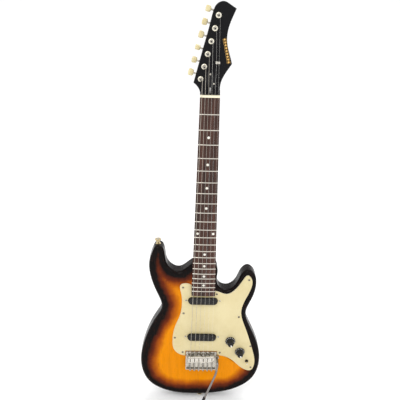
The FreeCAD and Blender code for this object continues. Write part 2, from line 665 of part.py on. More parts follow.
row_turn = Rotation(Vector(0, 1, 0), math.degrees(math.atan2(TUNER_LINE.x, TUNER_LINE.z)))
posts = [feature("tuner_post_%d_made" % (i + 1), post_piece(i)) for i in range(STRINGS)]
buttons = [feature("tuner_button_%d_made" % (i + 1), button_piece(i)) for i in range(STRINGS)]
strip_last = (STRINGS - 1) * value("tuner_pitch") + SCREW_STEP + 3.4
strip = row_box(value("housing_width"), 0.8, SCREW_STEP - value("tuner_pitch") - 3.4, strip_last, head_back)
shells = [housing_shell(i) for i in range(STRINGS)]
housing_shape = strip.fuse([outer for outer, inner in shells]).cut([inner for outer, inner in shells])
housing_shape = housing_shape.cut([bore for i in range(STRINGS) for bore in housing_bores(i)])
housings_raw = feature("housings_raw", housing_shape)


def bushing_piece(index):
    """A tuner bushing: a sleeve in the headstock with a domed flange on its face."""
    base = post_place(index)
    radius = value("bushing_radius")
    sleeve = Part.makeCylinder(radius - 1, value("head_thickness") - 1, base + Vector(0, head_face, 0),
                               Vector(0, 1, 0))
    flange = Part.makeCone(radius - 1, radius + 0.8, 1.8, base + Vector(0, head_face - 1.8, 0), Vector(0, 1, 0))
    bore = Part.makeCylinder(value("post_radius") + value("running_gap"), value("head_thickness") + 6,
                             base + Vector(0, head_face - 3, 0), Vector(0, 1, 0))
    return sleeve.fuse(flange).cut(bore)


bushings = feature("bushings_made", Part.makeCompound([bushing_piece(i) for i in range(STRINGS)]))
housing_screws = []
for i in range(STRINGS + 1):
    spot = FIRST_POST + TUNER_LINE * ((i - 1) * value("tuner_pitch") + SCREW_STEP)
    housing_screws.append(screw("housing_screw_%d" % i, "1", "8", "1.8", "0.8", "%.4f" % spot.x,
                                "%s + 0.8" % HEAD_BACK, "%.4f" % spot.z, "-y"))
head_screws = group("head_screws_made", rod_cover_screws + [tree_screw] + housing_screws)
housings = cut("housings_made", housings_raw, head_screws)
rod_cover = cut("rod_cover_made", rod_cover_raw, head_screws)

# ---------------------------------------------------------------- neck joint
neck_screws = []
for n, (side, up) in enumerate([(-1, -1), (1, -1), (-1, 1), (1, 1)]):
    neck_screws.append(screw("neck_screw_%d" % n, "2.1", "40", "4.4", "2.6", "%d * (neck_plate_width / 2 - 7)" % side,
                             "%s + plate_metal" % BACK,
                             "%s + heel_length / 2 + 6 + %d * (neck_plate_length / 2 - 8)" % (BOARD_END, up), "-y"))
neck_screw_group = group("neck_screws_made", neck_screws)
neck_plate_block = centred_box("neck_plate_block", "neck_plate_width", "plate_metal", "neck_plate_length", BACK,
                               "%s + 6 + heel_length / 2 - neck_plate_length / 2" % BOARD_END)
neck_plate = cut("neck_plate_made", neck_plate_block, neck_screw_group)

# ---------------------------------------------------------------- pickguard
def guard_outline():
    """The pickguard's outline, from the neck's bass side round to its treble side."""
    drawn = [(-28, 337), (-42, 342), (-54.5, 338), (-54, 318), (-51, 288), (-55, 254), (-68, 217), (-73, 181),
             (-68, 152), (-54, 139), (-20, 135.5), (20, 135.5), (48, 137), (76, 126), (110, 97), (128, 93.5),
             (136, 110), (131, 149), (108, 219), (95, 268), (104, 302), (117, 338), (114, 360), (106, 366),
             (97, 357), (80, 330), (58, 314.5), (38, 320), (10, 328), (-10, 334)]
    return [stretch(x, z) for x, z in drawn]


guard, guard_pad = outline_body("guard_blank", smooth_loop(guard_outline()), "%s - guard_thickness" % FRONT,
                                "guard_thickness")
GUARD_FACE = "(%s - guard_thickness)" % FRONT
GUARD_SCREWS = [(-49, 331), (-46.5, 259), (-67, 188), (128, 102), (124, 166),
                (90, 251), (109.5, 354.5), (33, 314)]
guard_spots = [stretch(x, z) for x, z in GUARD_SCREWS]
guard_spots += [(side * (value("plate_width") / 2 + 8), value(SADDLE) + 2) for side in (-1, 1)]
guard_screws = []
for n, (x, z) in enumerate(guard_spots):
    guard_screws.append(screw("guard_screw_%d" % n, "1.3", "14", "2.9", "1.7", "%.4f" % x, GUARD_FACE,
                              "%.4f" % z))
guard_screw_group = group("guard_screws_made", guard_screws)


def stadium(name, length, width, depth, y, z):
    """A block with half-round ends, centred on the centre line."""
    middle = centred_box(name + "_middle", "%s - %s" % (length, width), depth, width, y,
                         "%s - (%s) / 2" % (z, width))
    ends = [rod(name + "_end_%d" % side, "(%s) / 2" % width, depth, "%d * (%s - %s) / 2" % (side, length, width),
                y, z, "y") for side in (-1, 1)]
    return fuse(name, [middle] + ends)


def pickup(name, centre):
    """A pickup: a closed cover, its coil inside, two height screws and their springs."""
    top = "(%s - pickup_rise)" % GUARD_FACE
    outer = stadium(name + "_outer", "pickup_length", "pickup_width", "pickup_height", top, centre)
    inner = stadium(name + "_inner", "pickup_length - 2 * cover_wall", "pickup_width - 2 * cover_wall",
                    "pickup_height", "%s + cover_wall" % top, centre)
    cover = cut(name + "_cover_made", outer, inner)
    room = stadium(name + "_room", "pickup_length + 2 * pickup_gap", "pickup_width + 2 * pickup_gap",
                   "guard_thickness + 2", "%s - 1" % GUARD_FACE, centre)
    coil = stadium(name + "_winding", "pickup_length - 5", "pickup_width - 5", "pickup_height - 5",
                   "%s + cover_wall + 0.6" % top, centre)
    base = centred_box(name + "_base", PICKUP_SPAN + " + 8", "2", "pickup_width - 4",
                       "%s + pickup_height" % top, "%s - pickup_width / 2 + 2" % centre)
    stem = centred_box(name + "_stem", "40", "4", "8", "%s + pickup_height - 4" % top, "%s - 4" % centre)
    screws = []
    springs = []
    for side in (-1, 1):
        x = "%d * %s / 2" % (side, PICKUP_SPAN)
        screws.append(screw("%s_screw_%d" % (name, side), "1.3", "22", "2.9", "1.7", x, GUARD_FACE, centre))
        tube = rod("%s_tube_%d" % (name, side), "3", "%s + pickup_height - (%s) - 0.6" % (top, FRONT), x,
                   "%s + 0.3" % FRONT, centre, "y")
        hole = rod("%s_tube_hole_%d" % (name, side), "2.2", "30", x, "%s - 2" % FRONT, centre, "y")
        springs.append(cut("%s_spring_%d" % (name, side), tube, hole))
    screw_pair = group(name + "_screw_pair", screws)
    coil_piece = cut(name + "_coil_made", fuse(name + "_coil_solid", [coil, stem, base]), screw_pair)
    return cover, coil_piece, screws, springs, room


neck_cover, neck_coil, screws_a, springs_a, room_a = pickup("neck_pickup", NECK_PICKUP)
bridge_cover, bridge_coil, screws_b, springs_b, room_b = pickup("bridge_pickup", BRIDGE_PICKUP)
pickup_screws = group("pickup_screws_made", screws_a + screws_b)
pickup_springs = group("pickup_springs_made", springs_a + springs_b)

# ---------------------------------------------------------------- controls
VOLUME_SPOT = (72, 181)
TONE_SPOT = (97.5, 149.5)
SWITCH_SPOT = (116.5, 121.5)


def knob_and_pot(name, spot):
    """A skirted knob with its turning shaft, and the pot that it turns in."""
    x, z = ["%.4f" % number for number in stretch(*spot)]
    skirt_back = "(%s - knob_lift)" % GUARD_FACE
    skirt = cone(name + "_skirt", "knob_skirt_radius", "knob_skirt_radius - 2.2", "skirt_height", x, skirt_back,
                 z, "-y")
    barrel = cone(name + "_barrel", "knob_radius", "knob_radius - 0.6", "knob_height", x, skirt_back, z, "-y")
    shaft = rod(name + "_shaft", "shaft_radius", "pot_height + 4", x, "%s - 2" % skirt_back, z, "y")
    knob = fuse(name + "_knob_made", [skirt, barrel, shaft])
    bore = rod(name + "_bore", "shaft_radius + running_gap", "pot_height + 20", x, "%s - 10" % FRONT, z, "y")
    can = rod(name + "_can", "pot_radius", "pot_height", x, "%s + 1.4" % FRONT, z, "y")
    sleeve = rod(name + "_sleeve", "shaft_radius + 1.5", "guard_thickness + 2.2", x, "%s - 0.8" % GUARD_FACE, z,
                 "y")
    hollow = rod(name + "_hollow", "pot_radius - 1", "pot_height - 2", x, "%s + 2.4" % FRONT, z, "y")
    lugs = box(name + "_lugs", "12", "1", "7", "%s - 6" % x, "%s + 4" % FRONT, "%s - pot_radius - 6" % z)
    shell = cut(name + "_shell", fuse(name + "_outer", [can, lugs]), hollow)
    pot = cut(name + "_pot_made", fuse(name + "_body", [shell, sleeve]), bore)
    hole = rod(name + "_guard_hole", "shaft_radius + 1.5", "20", x, "%s - 10" % FRONT, z, "y")
    return knob, pot, hole


volume_knob, volume_pot, volume_hole = knob_and_pot("volume", VOLUME_SPOT)
tone_knob, tone_pot, tone_hole = knob_and_pot("tone", TONE_SPOT)

switch_x, switch_z = ["%.4f" % number for number in stretch(*SWITCH_SPOT)]
switch_case = box("switch_case", "switch_width", "switch_height", "switch_length",
                  "%s - switch_width / 2" % switch_x, "%s + 1" % FRONT, "%s - switch_length / 2" % switch_z)
switch_sleeve = rod("switch_sleeve", "3", "guard_thickness + 4", switch_x, "%s - 3" % GUARD_FACE, switch_z, "y")
switch_ring = rod("switch_ring", "4.2", "1.6", switch_x, "%s - 1.6" % GUARD_FACE, switch_z, "y")
switch_back = rod("switch_back", "4.2", "9", switch_x, "%s + 2" % FRONT, switch_z, "y")
switch_solid = fuse("switch_solid", [switch_case, switch_sleeve, switch_ring])
switch_mouth = cone("switch_mouth", "1.9", "2.7", "guard_thickness + 6", switch_x, "%s + 2" % FRONT, switch_z, "-y")
toggle_switch = cut("switch_made", switch_solid, fuse("switch_hollow", [switch_back, switch_mouth]))
switch_hole = rod("switch_hole", "3", "20", switch_x, "%s - 10" % FRONT, switch_z, "y")
LEVER_PIVOT = "(%s - 1)" % FRONT
lever_bar = cone("lever_bar", "lever_radius - 0.4", "lever_radius + 0.5", "lever_length + 4", switch_x,
                 "%s + 1" % LEVER_PIVOT, switch_z, "-y")
lever_tip = doc.addObject("Part::Sphere", "lever_tip")
bind(lever_tip, Radius="lever_radius + 0.5", x=switch_x, y="%s - lever_length - 3" % LEVER_PIVOT, z=switch_z)
lever_pin = rod("lever_pin", "0.8", "3.4", "%s - 1.7" % switch_x, LEVER_PIVOT, switch_z, "x")
lever_tail = rod("lever_tail", "lever_radius - 0.4", "7", switch_x, "%s" % LEVER_PIVOT, switch_z, "y")
switch_lever = fuse("lever_made", [lever_bar, lever_tip, lever_pin, lever_tail])

guard_rooms = [guard_screw_group, pickup_screws, room_a, room_b, volume_hole, tone_hole, switch_hole]
bridge_bay = centred_box("bridge_bay", "plate_width + 3", "20", "60", "%s - 10" % FRONT,
                         "%s + 6.5 - 60" % SADDLE)
lug_bay = rod("lug_bay", "lug_radius + 1.6", "20", ARM_X, "%s - 10" % FRONT, ARM_Z, "y")
neck_bay_low = end_z - 0.4
neck_bay = feature("neck_bay", prism([(-half_width(neck_bay_low) - 0.3, neck_bay_low),
                                      (half_width(neck_bay_low) + 0.3, neck_bay_low),
                                      (half_width(pocket_high) + 0.3, pocket_high),
                                      (-half_width(pocket_high) - 0.3, pocket_high)],
                                     value(FRONT) - 20, 40))
guard_shape = guard
for n, room in enumerate(guard_rooms + [bridge_bay, lug_bay, neck_bay]):
    guard_shape = cut("guard_cut_%d" % n, guard_shape, room)
pickguard = guard_shape

# ---------------------------------------------------------------- jack, capacitor and wiring
jack_face = "(%.4f - 1.2)" % jack_x
cup_disc = rod("cup_disc", "cup_radius + cup_rim", "1.8", "%s - 1.8" % jack_face, "0", "jack_height", "x")
cup_wall = rod("cup_wall", "cup_radius - 1.5", "9", "%s - 10" % jack_face, "0", "jack_height", "x")
cup_room = rod("cup_room", "cup_radius - 2.5", "12", "%s - 8.8" % jack_face, "0", "jack_height", "x")
cup_hole = rod("cup_hole", "jack_sleeve", "20", "%s - 15" % jack_face, "0", "jack_height", "x")
jack_cup = cut("cup_made", fuse("cup_solid", [cup_disc, cup_wall]), fuse("cup_rooms", [cup_room, cup_hole]))
JACK_MOUTH = "(%s - 6)" % jack_face
jack_barrel = rod("jack_barrel", "jack_sleeve", "jack_length", "%s - jack_length" % JACK_MOUTH, "0",
                  "jack_height", "x")
jack_nut = rod("jack_nut", "jack_sleeve + 2.4", "2", "%s - 2.8" % JACK_MOUTH, "0", "jack_height", "x")
jack_collar = rod("jack_collar", "jack_sleeve + 2.4", "3", "%s - 13" % jack_face, "0", "jack_height", "x")
jack_hole = rod("jack_hole", "jack_bore", "jack_length + 2", "%s - jack_length - 1" % JACK_MOUTH, "0",
                "jack_height", "x")
jack_blade = box("jack_blade", "20", "0.8", "5", "%s - jack_length - 10" % JACK_MOUTH, "jack_sleeve - 0.4",
                 "jack_height - 2.5")
output_jack = cut("jack_made", fuse("jack_solid", [jack_barrel, jack_nut, jack_collar, jack_blade]), jack_hole)

cap_x, cap_z = ["%.4f" % number for number in stretch(92, 135)]
cap_disc = rod("cap_disc", "5", "3", cap_x, "%s + 16" % FRONT, cap_z, "y")
cap_leads = [rod("cap_lead_%d" % side, "0.3", "9", "%s + %d" % (cap_x, side), "%s + 17.5" % FRONT,
                 "%s - 13" % cap_z) for side in (-2, 2)]
capacitor = fuse("capacitor_made", [cap_disc] + cap_leads)


def wire(points):
    """A lead along straight runs."""
    return tube_path([Vector(*point) for point in points], 0.9)


front = value(FRONT)
neck_pickup_z = value(NECK_PICKUP)
bridge_pickup_z = value(BRIDGE_PICKUP)
volume_x, volume_z = stretch(*VOLUME_SPOT)
lead_level = front + 16.4
WIRES = [
    [(24, lead_level - 3, neck_pickup_z - 2), (24, lead_level - 3, bridge_pickup_z + 10)],
    [(30, lead_level - 3, bridge_pickup_z - 2.4), (volume_x - 8, lead_level - 3, bridge_pickup_z - 2.4),
     (volume_x - 8, lead_level + 4, volume_z - 12)],
    [(volume_x + 12, lead_level + 2, volume_z - 18), (jack_x - 46, lead_level + 8, 120),
     (jack_x - 44, 10, value("jack_height") + 2)],
]
leads = feature("leads_made", Part.makeCompound([wire(points) for points in WIRES]))
wiring = group("wiring_made", [leads, capacitor])

# ---------------------------------------------------------------- strap buttons, back cover and claw
def strap_button(name, x, z, axis):
    """A strap button that stands along an axis, with its waist, and the screw through it."""
    base = Vector(x, 0, z)
    height = value("strap_height")
    radius = value("strap_radius")
    profile = [(0, 0), (radius - 1, 0), (radius - 3.4, 2), (radius - 3.4, height - 5), (radius, height - 2.4),
               (radius - 0.6, height), (0, height)]
    points = [Vector(r, 0, h) for r, h in profile]
    shape = Part.Face(Part.makePolygon(points + points[:1])).revolve(Vector(), Vector(0, 0, 1), 360)
    turn = Rotation(Vector(0, 0, 1), axis)
    shape.Placement = Placement(base, turn)
    button = feature(name + "_blank", shape)
    return button, base + axis * height


UP_LEFT = Vector(-math.sin(math.radians(5)), 0, math.cos(math.radians(5)))
horn_x, horn_z = stretch(*HORN_CENTRE)
horn_centre = Vector(horn_x, 0, horn_z)
horn_seat = horn_centre + UP_LEFT * (value("horn_radius") - 1.0)
end_button, end_head = strap_button("end_button", 0, value("strap_height"), Vector(0, 0, -1))
horn_button, horn_head = strap_button("horn_button", horn_seat.x, horn_seat.z, UP_LEFT)
end_screw = screw("end_screw", "1.8", "strap_height + 24", "3.6", "2.2", "0", "0", "%.5f" % end_head.z, "z")
horn_screw = screw("horn_screw", "1.8", "strap_height + 20", "3.6", "2.2", "%.5f" % horn_head.x, "0",
                   "%.5f" % horn_head.z, Rotation(Vector(0, 0, 1), UP_LEFT * -1))
strap_screws = group("strap_screws_made", [end_screw, horn_screw])
strap_buttons = cut("strap_buttons_made", group("strap_blanks", [end_button, horn_button]), strap_screws)

COVER_LOW = "(%s - 8)" % SLOT_LOW
cover_sheet = centred_box("cover_sheet", "cover_width", "cover_thickness", "cover_length", BACK, COVER_LOW)
cover_hatch = centred_box("cover_hatch", "block_width - 4", "10", "14", "%s - 4" % BACK,
                          "%s - block_thickness / 2 - 7" % BLOCK_TOP)
cover_screws = []
for n, (side, share) in enumerate([(-1, 0.0), (1, 0.0), (-1, 0.5), (1, 0.5), (-1, 1.0), (1, 1.0)]):
    cover_screws.append(screw("cover_screw_%d" % n, "1.3", "11", "2.9", "1.7", "%d * (cover_width / 2 - 4.6)" % side,
                              "%s + cover_thickness" % BACK,
                              "%s + 5 + %s * (cover_length - 10)" % (COVER_LOW, share), "-y"))
cover_screw_group = group("cover_screws_made", cover_screws)
rear_cover = cut("rear_cover_made", cut("cover_open", cover_sheet, cover_hatch), cover_screw_group)

CLAW = "(%s + cover_length - 16 - 26)" % SLOT_LOW
SPRING_LEVEL = "(%s - spring_depth)" % BACK
claw_bar = centred_box("claw_bar", "claw_width", "10", "2.4", "%s - 5" % SPRING_LEVEL, CLAW)
claw_screws = [screw("claw_screw_%d" % side, "2", "50", "4", "2.2", "%d * claw_width * 0.32" % side, SPRING_LEVEL,
                     "%s - 3" % CLAW, "z") for side in (-1, 1)]
claw_screw_group = group("claw_screws_made", claw_screws)
SPRINGS = (-1, 0, 1)
spring_pins = [rod("spring_pin_%d" % (n + 2), "1.1", "6", "%d * spring_pitch" % n, SPRING_LEVEL, "%s - 5" % CLAW)
               for n in SPRINGS]
claw = cut("claw_made", fuse("claw_solid", [claw_bar] + spring_pins), claw_screw_group)

# ---------------------------------------------------------------- tremolo
plate_sheet = centred_box("plate_sheet", "plate_width", "plate_thickness", "plate_length", PLATE_FACE,
                          "%s - plate_length" % PLATE_TOP)
plate_rear = centred_box("plate_rear", "plate_width", "plate_wall + plate_thickness", "plate_thickness",
                         "%s - plate_wall" % PLATE_FACE, "%s - plate_length" % PLATE_TOP)
plate_sides = [box("plate_side_%s" % name, "plate_thickness", "plate_wall + plate_thickness", "plate_length - 9",
                   x, "%s - plate_wall" % PLATE_FACE, "%s - plate_length" % PLATE_TOP)
               for name, x in (("a", "-plate_width / 2"), ("b", "plate_width / 2 - plate_thickness"))]
arm_lug = rod("arm_lug", "lug_radius", "plate_thickness + 4", ARM_X, "%s - 4" % PLATE_FACE, ARM_Z, "y")
plate_solid = fuse("plate_solid", [plate_sheet, plate_rear] + plate_sides + [arm_lug])
block_screws = [screw("block_screw_%d" % n, "2", "plate_thickness + 14", "3.6", "2", "%d * 22" % n, PLATE_FACE,
                      "%s - 2" % BLOCK_TOP) for n in (-1, 0, 1)]
block_screw_group = group("block_screws_made", block_screws)
block_blank = centred_box("block_blank", "block_width", "block_depth", "block_thickness", PLATE_BACK,
                          "%s - block_thickness" % BLOCK_TOP)
string_bores = [rod("string_bore_%d" % i, "1.6", "block_depth + 30", "%.4f" % saddle_point(i).x,
                    "%s - 4" % PLATE_FACE, "%.4f" % block_z, "y") for i in range(STRINGS)]
ball_bores = [rod("ball_bore_%d" % i, "2.2", "block_depth", "%.4f" % saddle_point(i).x,
                  "%s + 17" % PLATE_FACE, "%.4f" % block_z, "y") for i in range(STRINGS)]
arm_bore = rod("arm_bore", "arm_radius + running_gap", "20", ARM_X, "%s - 10" % PLATE_FACE, ARM_Z, "y")
block_cuts = group("block_cuts", string_bores + ball_bores)
tremolo_block = cut("block_made", cut("block_bored", block_blank, block_cuts), block_screw_group)
spring_holes = [rod("spring_hole_%d" % (n + 2), "1.4", "6", "%d * spring_pitch" % n, SPRING_LEVEL, "%s - 5" % BLOCK_TOP)
                for n in SPRINGS]
tremolo_block = cut("block_drilled", tremolo_block, group("spring_hole_group", spring_holes))
pivot_screws = [screw("pivot_screw_%d" % i, "1.6", "26", "3.4", "2.6", "%.4f" % spread(i, value("pivot_spread")),
                      "%s - 0.6" % PLATE_FACE, PIVOT) for i in range(STRINGS)]
pivot_screw_group = group("pivot_screws_made", pivot_screws)
pivot_rooms = [cone("pivot_room_%d" % i, "4.2", "2.4", "plate_thickness + 1.6", "%.4f" % spread(i, value("pivot_spread")),
                    "%s - 0.8" % PLATE_FACE, PIVOT, "y") for i in range(STRINGS)]


def saddle_piece(index):
    """A bent-steel saddle: a flat tongue with a folded front face that carries the string."""
    point = saddle_point(index)
    width = value("saddle_width")
    thick = value("saddle_thickness")
    plate = value(PLATE_FACE)
    length = value("saddle_length")
    radius = STRING_RADII[index] + value("string_gap")
    top = point.y + radius
    tongue = Part.makeBox(width, thick, length, Vector(point.x - width / 2, top, point.z - length + 1.2))
    crown = Part.makeCylinder(1.2, width, Vector(point.x - width / 2, top + 1.2, point.z), Vector(1, 0, 0))
    slot = Part.makeBox(2.6, 12, length - 6.5, Vector(point.x - 1.3, top - 4, point.z - length + 3.4))
    rear = Part.makeBox(width, 5.2, 1.8, Vector(point.x - width / 2, top, point.z - length + 1.2))
    body = tongue.fuse([crown, rear]).cut(slot)
    drop = plate - top
    legs = []
    for side in (-1, 1):
        at = Vector(point.x + side * (width / 2 - 1.8), top - 0.5, point.z - 3.2)
        legs.append(Part.makeCylinder(1.25, drop + 0.5, at, Vector(0, 1, 0)))
    return body, legs


saddle_parts = [saddle_piece(i) for i in range(STRINGS)]
leg_shapes = [leg for body_part, legs in saddle_parts for leg in legs]
rear_z = value(PLATE_TOP) - value("plate_length")


def intonation_screw(index):
    """The long screw through the bridge's rear wall into one saddle."""
    point = saddle_point(index)
    level = point.y + STRING_RADII[index] + value("string_gap") + 3.2
    start = Vector(point.x, level, rear_z - 1.6)
    stop = point.z - value("saddle_length") + 4
    shank = Part.makeCylinder(1.1, stop - start.z, start, Vector(0, 0, 1))
    head = Part.makeCylinder(2.2, 1.6, start, Vector(0, 0, 1))
    return shank.fuse(head)


intonation = [intonation_screw(i) for i in range(STRINGS)]
saddle_screw_set = Part.makeCompound(leg_shapes + intonation)
saddle_screws = feature("saddle_screws_made", saddle_screw_set)
saddle_shapes = []
for i in range(STRINGS):
    tools = saddle_parts[i][1] + [intonation[i]]
    room = tube_path(string_route(i)[1:4], STRING_RADII[i] + value("string_gap"))
    saddle_shapes.append(saddle_parts[i][0].cut(tools).cut(room))
saddles = feature("saddles_made", Part.makeCompound(saddle_shapes))


def saddle_spring(index):
    """The coil round one intonation screw, between the rear wall and the saddle."""
    point = saddle_point(index)
    level = point.y + STRING_RADII[index] + value("string_gap") + 3.2
    low = rear_z + value("plate_thickness") + 0.2
    high = point.z - value("saddle_length") + 1.0
    outer = Part.makeCylinder(2.1, high - low, Vector(point.x, level, low))
    return outer.cut(Part.makeCylinder(1.5, high - low, Vector(point.x, level, low)))


saddle_springs = feature("saddle_springs_made", Part.makeCompound([saddle_spring(i) for i in range(STRINGS)]))
plate_tools = group("plate_tools", string_bores + pivot_rooms)
bridge_plate = cut("plate_made", cut("plate_drilled", cut("plate_screwed", plate_solid, plate_tools),
                                     block_screw_group), saddle_screws)
bridge_plate = cut("plate_armed", bridge_plate, arm_bore)


def coil(radius, wire_radius, length, turns):
    """A close spring along +Z from the origin."""
    helix = Part.makeHelix(length / turns, length, radius)
    profile = Part.Wire([Part.makeCircle(wire_radius, Vector(radius, 0, 0), Vector(0, 1, 0))])
    return Part.Wire(helix.Edges).makePipeShell([profile], True, True)


spring_level = value(SPRING_LEVEL)
spring_low = value(BLOCK_TOP) + 0.3
spring_high = value(CLAW) - 5.2
spring_shapes = []
for n in SPRINGS:
    shape = coil(value("spring_radius") - value("spring_wire"), value("spring_wire"), spring_high - spring_low - 2,
                 16)
    shape.translate(Vector(n * value("spring_pitch"), spring_level, spring_low + 1))
    spring_shapes.append(shape)
tremolo_springs = feature("tremolo_springs_made", Part.makeCompound(spring_shapes))

arm_x = value(ARM_X)
arm_z = value(ARM_Z)
plate_face = value(PLATE_FACE)
rise = value("arm_rise")
reach = value("arm_reach")
arm_points = [Vector(arm_x, plate_face + 2, arm_z), Vector(arm_x, plate_face - rise + 7, arm_z),
              Vector(arm_x, plate_face - rise + 2, arm_z - 2),
              Vector(arm_x - 0.2, plate_face - rise, arm_z - 7),
              Vector(arm_x - 1, plate_face - rise - 1.5, arm_z - 18),
              Vector(arm_x - 3.6, plate_face - rise - 3, arm_z - 29),
              Vector(arm_x - 30, plate_face - rise - 14, arm_z - reach + 22)]
tremolo_arm = feature("arm_made", tube_path(arm_points, value("arm_radius")))
tip_run = (arm_points[-1] - arm_points[-2]).normalize()
tip_shape = Part.makeCone(value("arm_radius") + 0.6, value("arm_radius") + 1.4, 20, arm_points[-1] - tip_run * 2,
                          tip_run)
tip_ball = Part.makeSphere(value("arm_radius") + 1.4, arm_points[-1] + tip_run * 18)
arm_tip = feature("arm_tip_made", tip_shape.fuse(tip_ball).cut(tremolo_arm.Shape))

# ---------------------------------------------------------------- the wood takes its screws
wood_tools = [guard_screw_group, pivot_screw_group, claw_screw_group, neck_screw_group, strap_screws,
              cover_screw_group, strap_buttons]
body_shape = routed_body
for n, tool in enumerate(wood_tools):
    body_shape = cut("body_cut_%d" % n, body_shape, tool)
neck_raw = fuse("neck_raw", [neck_shaft, head])
neck_shape = neck_raw
for n, tool in enumerate([group("neck_cut_group", neck_cuts), head_screws, neck_screw_group, bushings]):
    neck_shape = cut("neck_cut_%d" % n, neck_shape, tool)

NODES = {
    "body": body_shape, "neck": neck_shape, "fingerboard": fingerboard, "frets": frets, "position_dots": dots,
    "nut": nut, "truss_rod": truss_rod, "truss_rod_cover": rod_cover, "headstock_screws": head_screws,
    "string_tree": string_tree, "tuner_housings": housings, "tuner_bushings": bushings,
    "neck_plate": neck_plate, "neck_screws": neck_screw_group, "pickguard": pickguard,
    "pickguard_screws": guard_screw_group, "neck_pickup_cover": neck_cover, "neck_pickup_coil": neck_coil,
    "bridge_pickup_cover": bridge_cover, "bridge_pickup_coil": bridge_coil, "pickup_screws": pickup_screws,
    "pickup_springs": pickup_springs, "volume_pot": volume_pot, "tone_pot": tone_pot,
    "toggle_switch": toggle_switch, "output_jack": output_jack, "jack_cup": jack_cup, "wiring": wiring,
    "pivot_screws": pivot_screw_group, "spring_claw": claw,
    "claw_screws": claw_screw_group, "rear_cover": rear_cover, "cover_screws": cover_screw_group,
    "strap_buttons": strap_buttons, "strap_button_screws": strap_screws, "strings": strings,
    "bridge_plate": bridge_plate, "tremolo_block": tremolo_block, "block_screws": block_screw_group,
    "saddles": saddles, "saddle_screws": saddle_screws, "saddle_springs": saddle_springs,
    "tremolo_springs": tremolo_springs, "tremolo_arm": tremolo_arm, "arm_tip": arm_tip,
    "volume_knob": volume_knob, "tone_knob": tone_knob, "switch_lever": switch_lever,
}
for i in range(STRINGS):
    NODES["tuner_post_%d" % (i + 1)] = posts[i]
    NODES["tuner_button_%d" % (i + 1)] = buttons[i]

doc.recompute()
faults = [item.Name for item in doc.Objects if "Invalid" in item.State or "Error" in item.State]
for node, piece in NODES.items():
    piece.Label = node
    if piece.Shape.isNull() or not piece.Shape.isValid() or piece.Shape.Volume <= 0:
        faults.append(node)
if faults:
    raise RuntimeError("these pieces failed: " + ", ".join(faults))
os.makedirs("parts", exist_ok=True)
for node, piece in NODES.items():
    piece.Shape.exportStep("parts/%s.step" % node)
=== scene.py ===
"""The looks of a solid-body electric guitar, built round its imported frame, in metres.

+Z runs up along the neck and the front faces -Y. Places come from the frame's nodes and joints.
"""
import json
import logging
import math
from dataclasses import dataclass, field
from enum import Enum
from typing import Any, Callable, Iterable, Optional, Sequence

import bmesh
import bpy
from mathutils import Matrix, Vector
from mathutils.kdtree import KDTree


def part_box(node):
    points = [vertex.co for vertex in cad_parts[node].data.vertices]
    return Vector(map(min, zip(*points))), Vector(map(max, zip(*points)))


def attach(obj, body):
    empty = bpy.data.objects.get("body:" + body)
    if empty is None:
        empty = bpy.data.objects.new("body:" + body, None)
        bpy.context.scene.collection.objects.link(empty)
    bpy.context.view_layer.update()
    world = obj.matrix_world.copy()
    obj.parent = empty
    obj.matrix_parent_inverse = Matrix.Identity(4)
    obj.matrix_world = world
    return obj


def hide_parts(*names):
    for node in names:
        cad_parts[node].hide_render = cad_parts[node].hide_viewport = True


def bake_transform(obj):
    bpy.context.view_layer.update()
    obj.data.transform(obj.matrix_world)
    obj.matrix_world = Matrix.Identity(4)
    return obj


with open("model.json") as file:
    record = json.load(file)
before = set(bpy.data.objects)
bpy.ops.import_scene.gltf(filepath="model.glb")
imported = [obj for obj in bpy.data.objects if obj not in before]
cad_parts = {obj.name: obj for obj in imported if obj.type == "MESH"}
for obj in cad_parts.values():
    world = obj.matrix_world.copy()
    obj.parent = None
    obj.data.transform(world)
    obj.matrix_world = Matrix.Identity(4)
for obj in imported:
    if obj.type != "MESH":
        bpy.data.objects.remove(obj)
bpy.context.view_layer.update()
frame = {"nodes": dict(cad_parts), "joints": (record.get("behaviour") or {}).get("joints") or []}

LOG = logging.getLogger("guitar")
ROOT = "guitar"
BRIDGE = "tremolo_bridge"
STRINGS = 6
WELD = 1e-6
FLAT_SEAM = math.radians(1.0)
STRING_RADII = (0.00053, 0.00042, 0.00031, 0.00020, 0.00015, 0.00012)
WOUND_STRINGS = 3
KNOB_POINTER = -66.0
BUTTON_TWISTS = (20.0, -35.0, 60.0, 10.0, -20.0, 40.0)
Colour = tuple[float, float, float]
EVEN = (1.0, 1.0, 1.0)
LACQUER = {"IOR": 1.15, "Specular_IOR_Level": 0.2, "Coat_Weight": 0.25, "Coat_IOR": 1.3}


class Axis(Enum):
    """A direction that a turned or drilled piece runs along."""

    FRONT = (0.0, -1.0, 0.0)
    BACK = (0.0, 1.0, 0.0)

    @property
    def vector(self) -> Vector:
        """The direction as a vector."""
        return Vector(self.value)


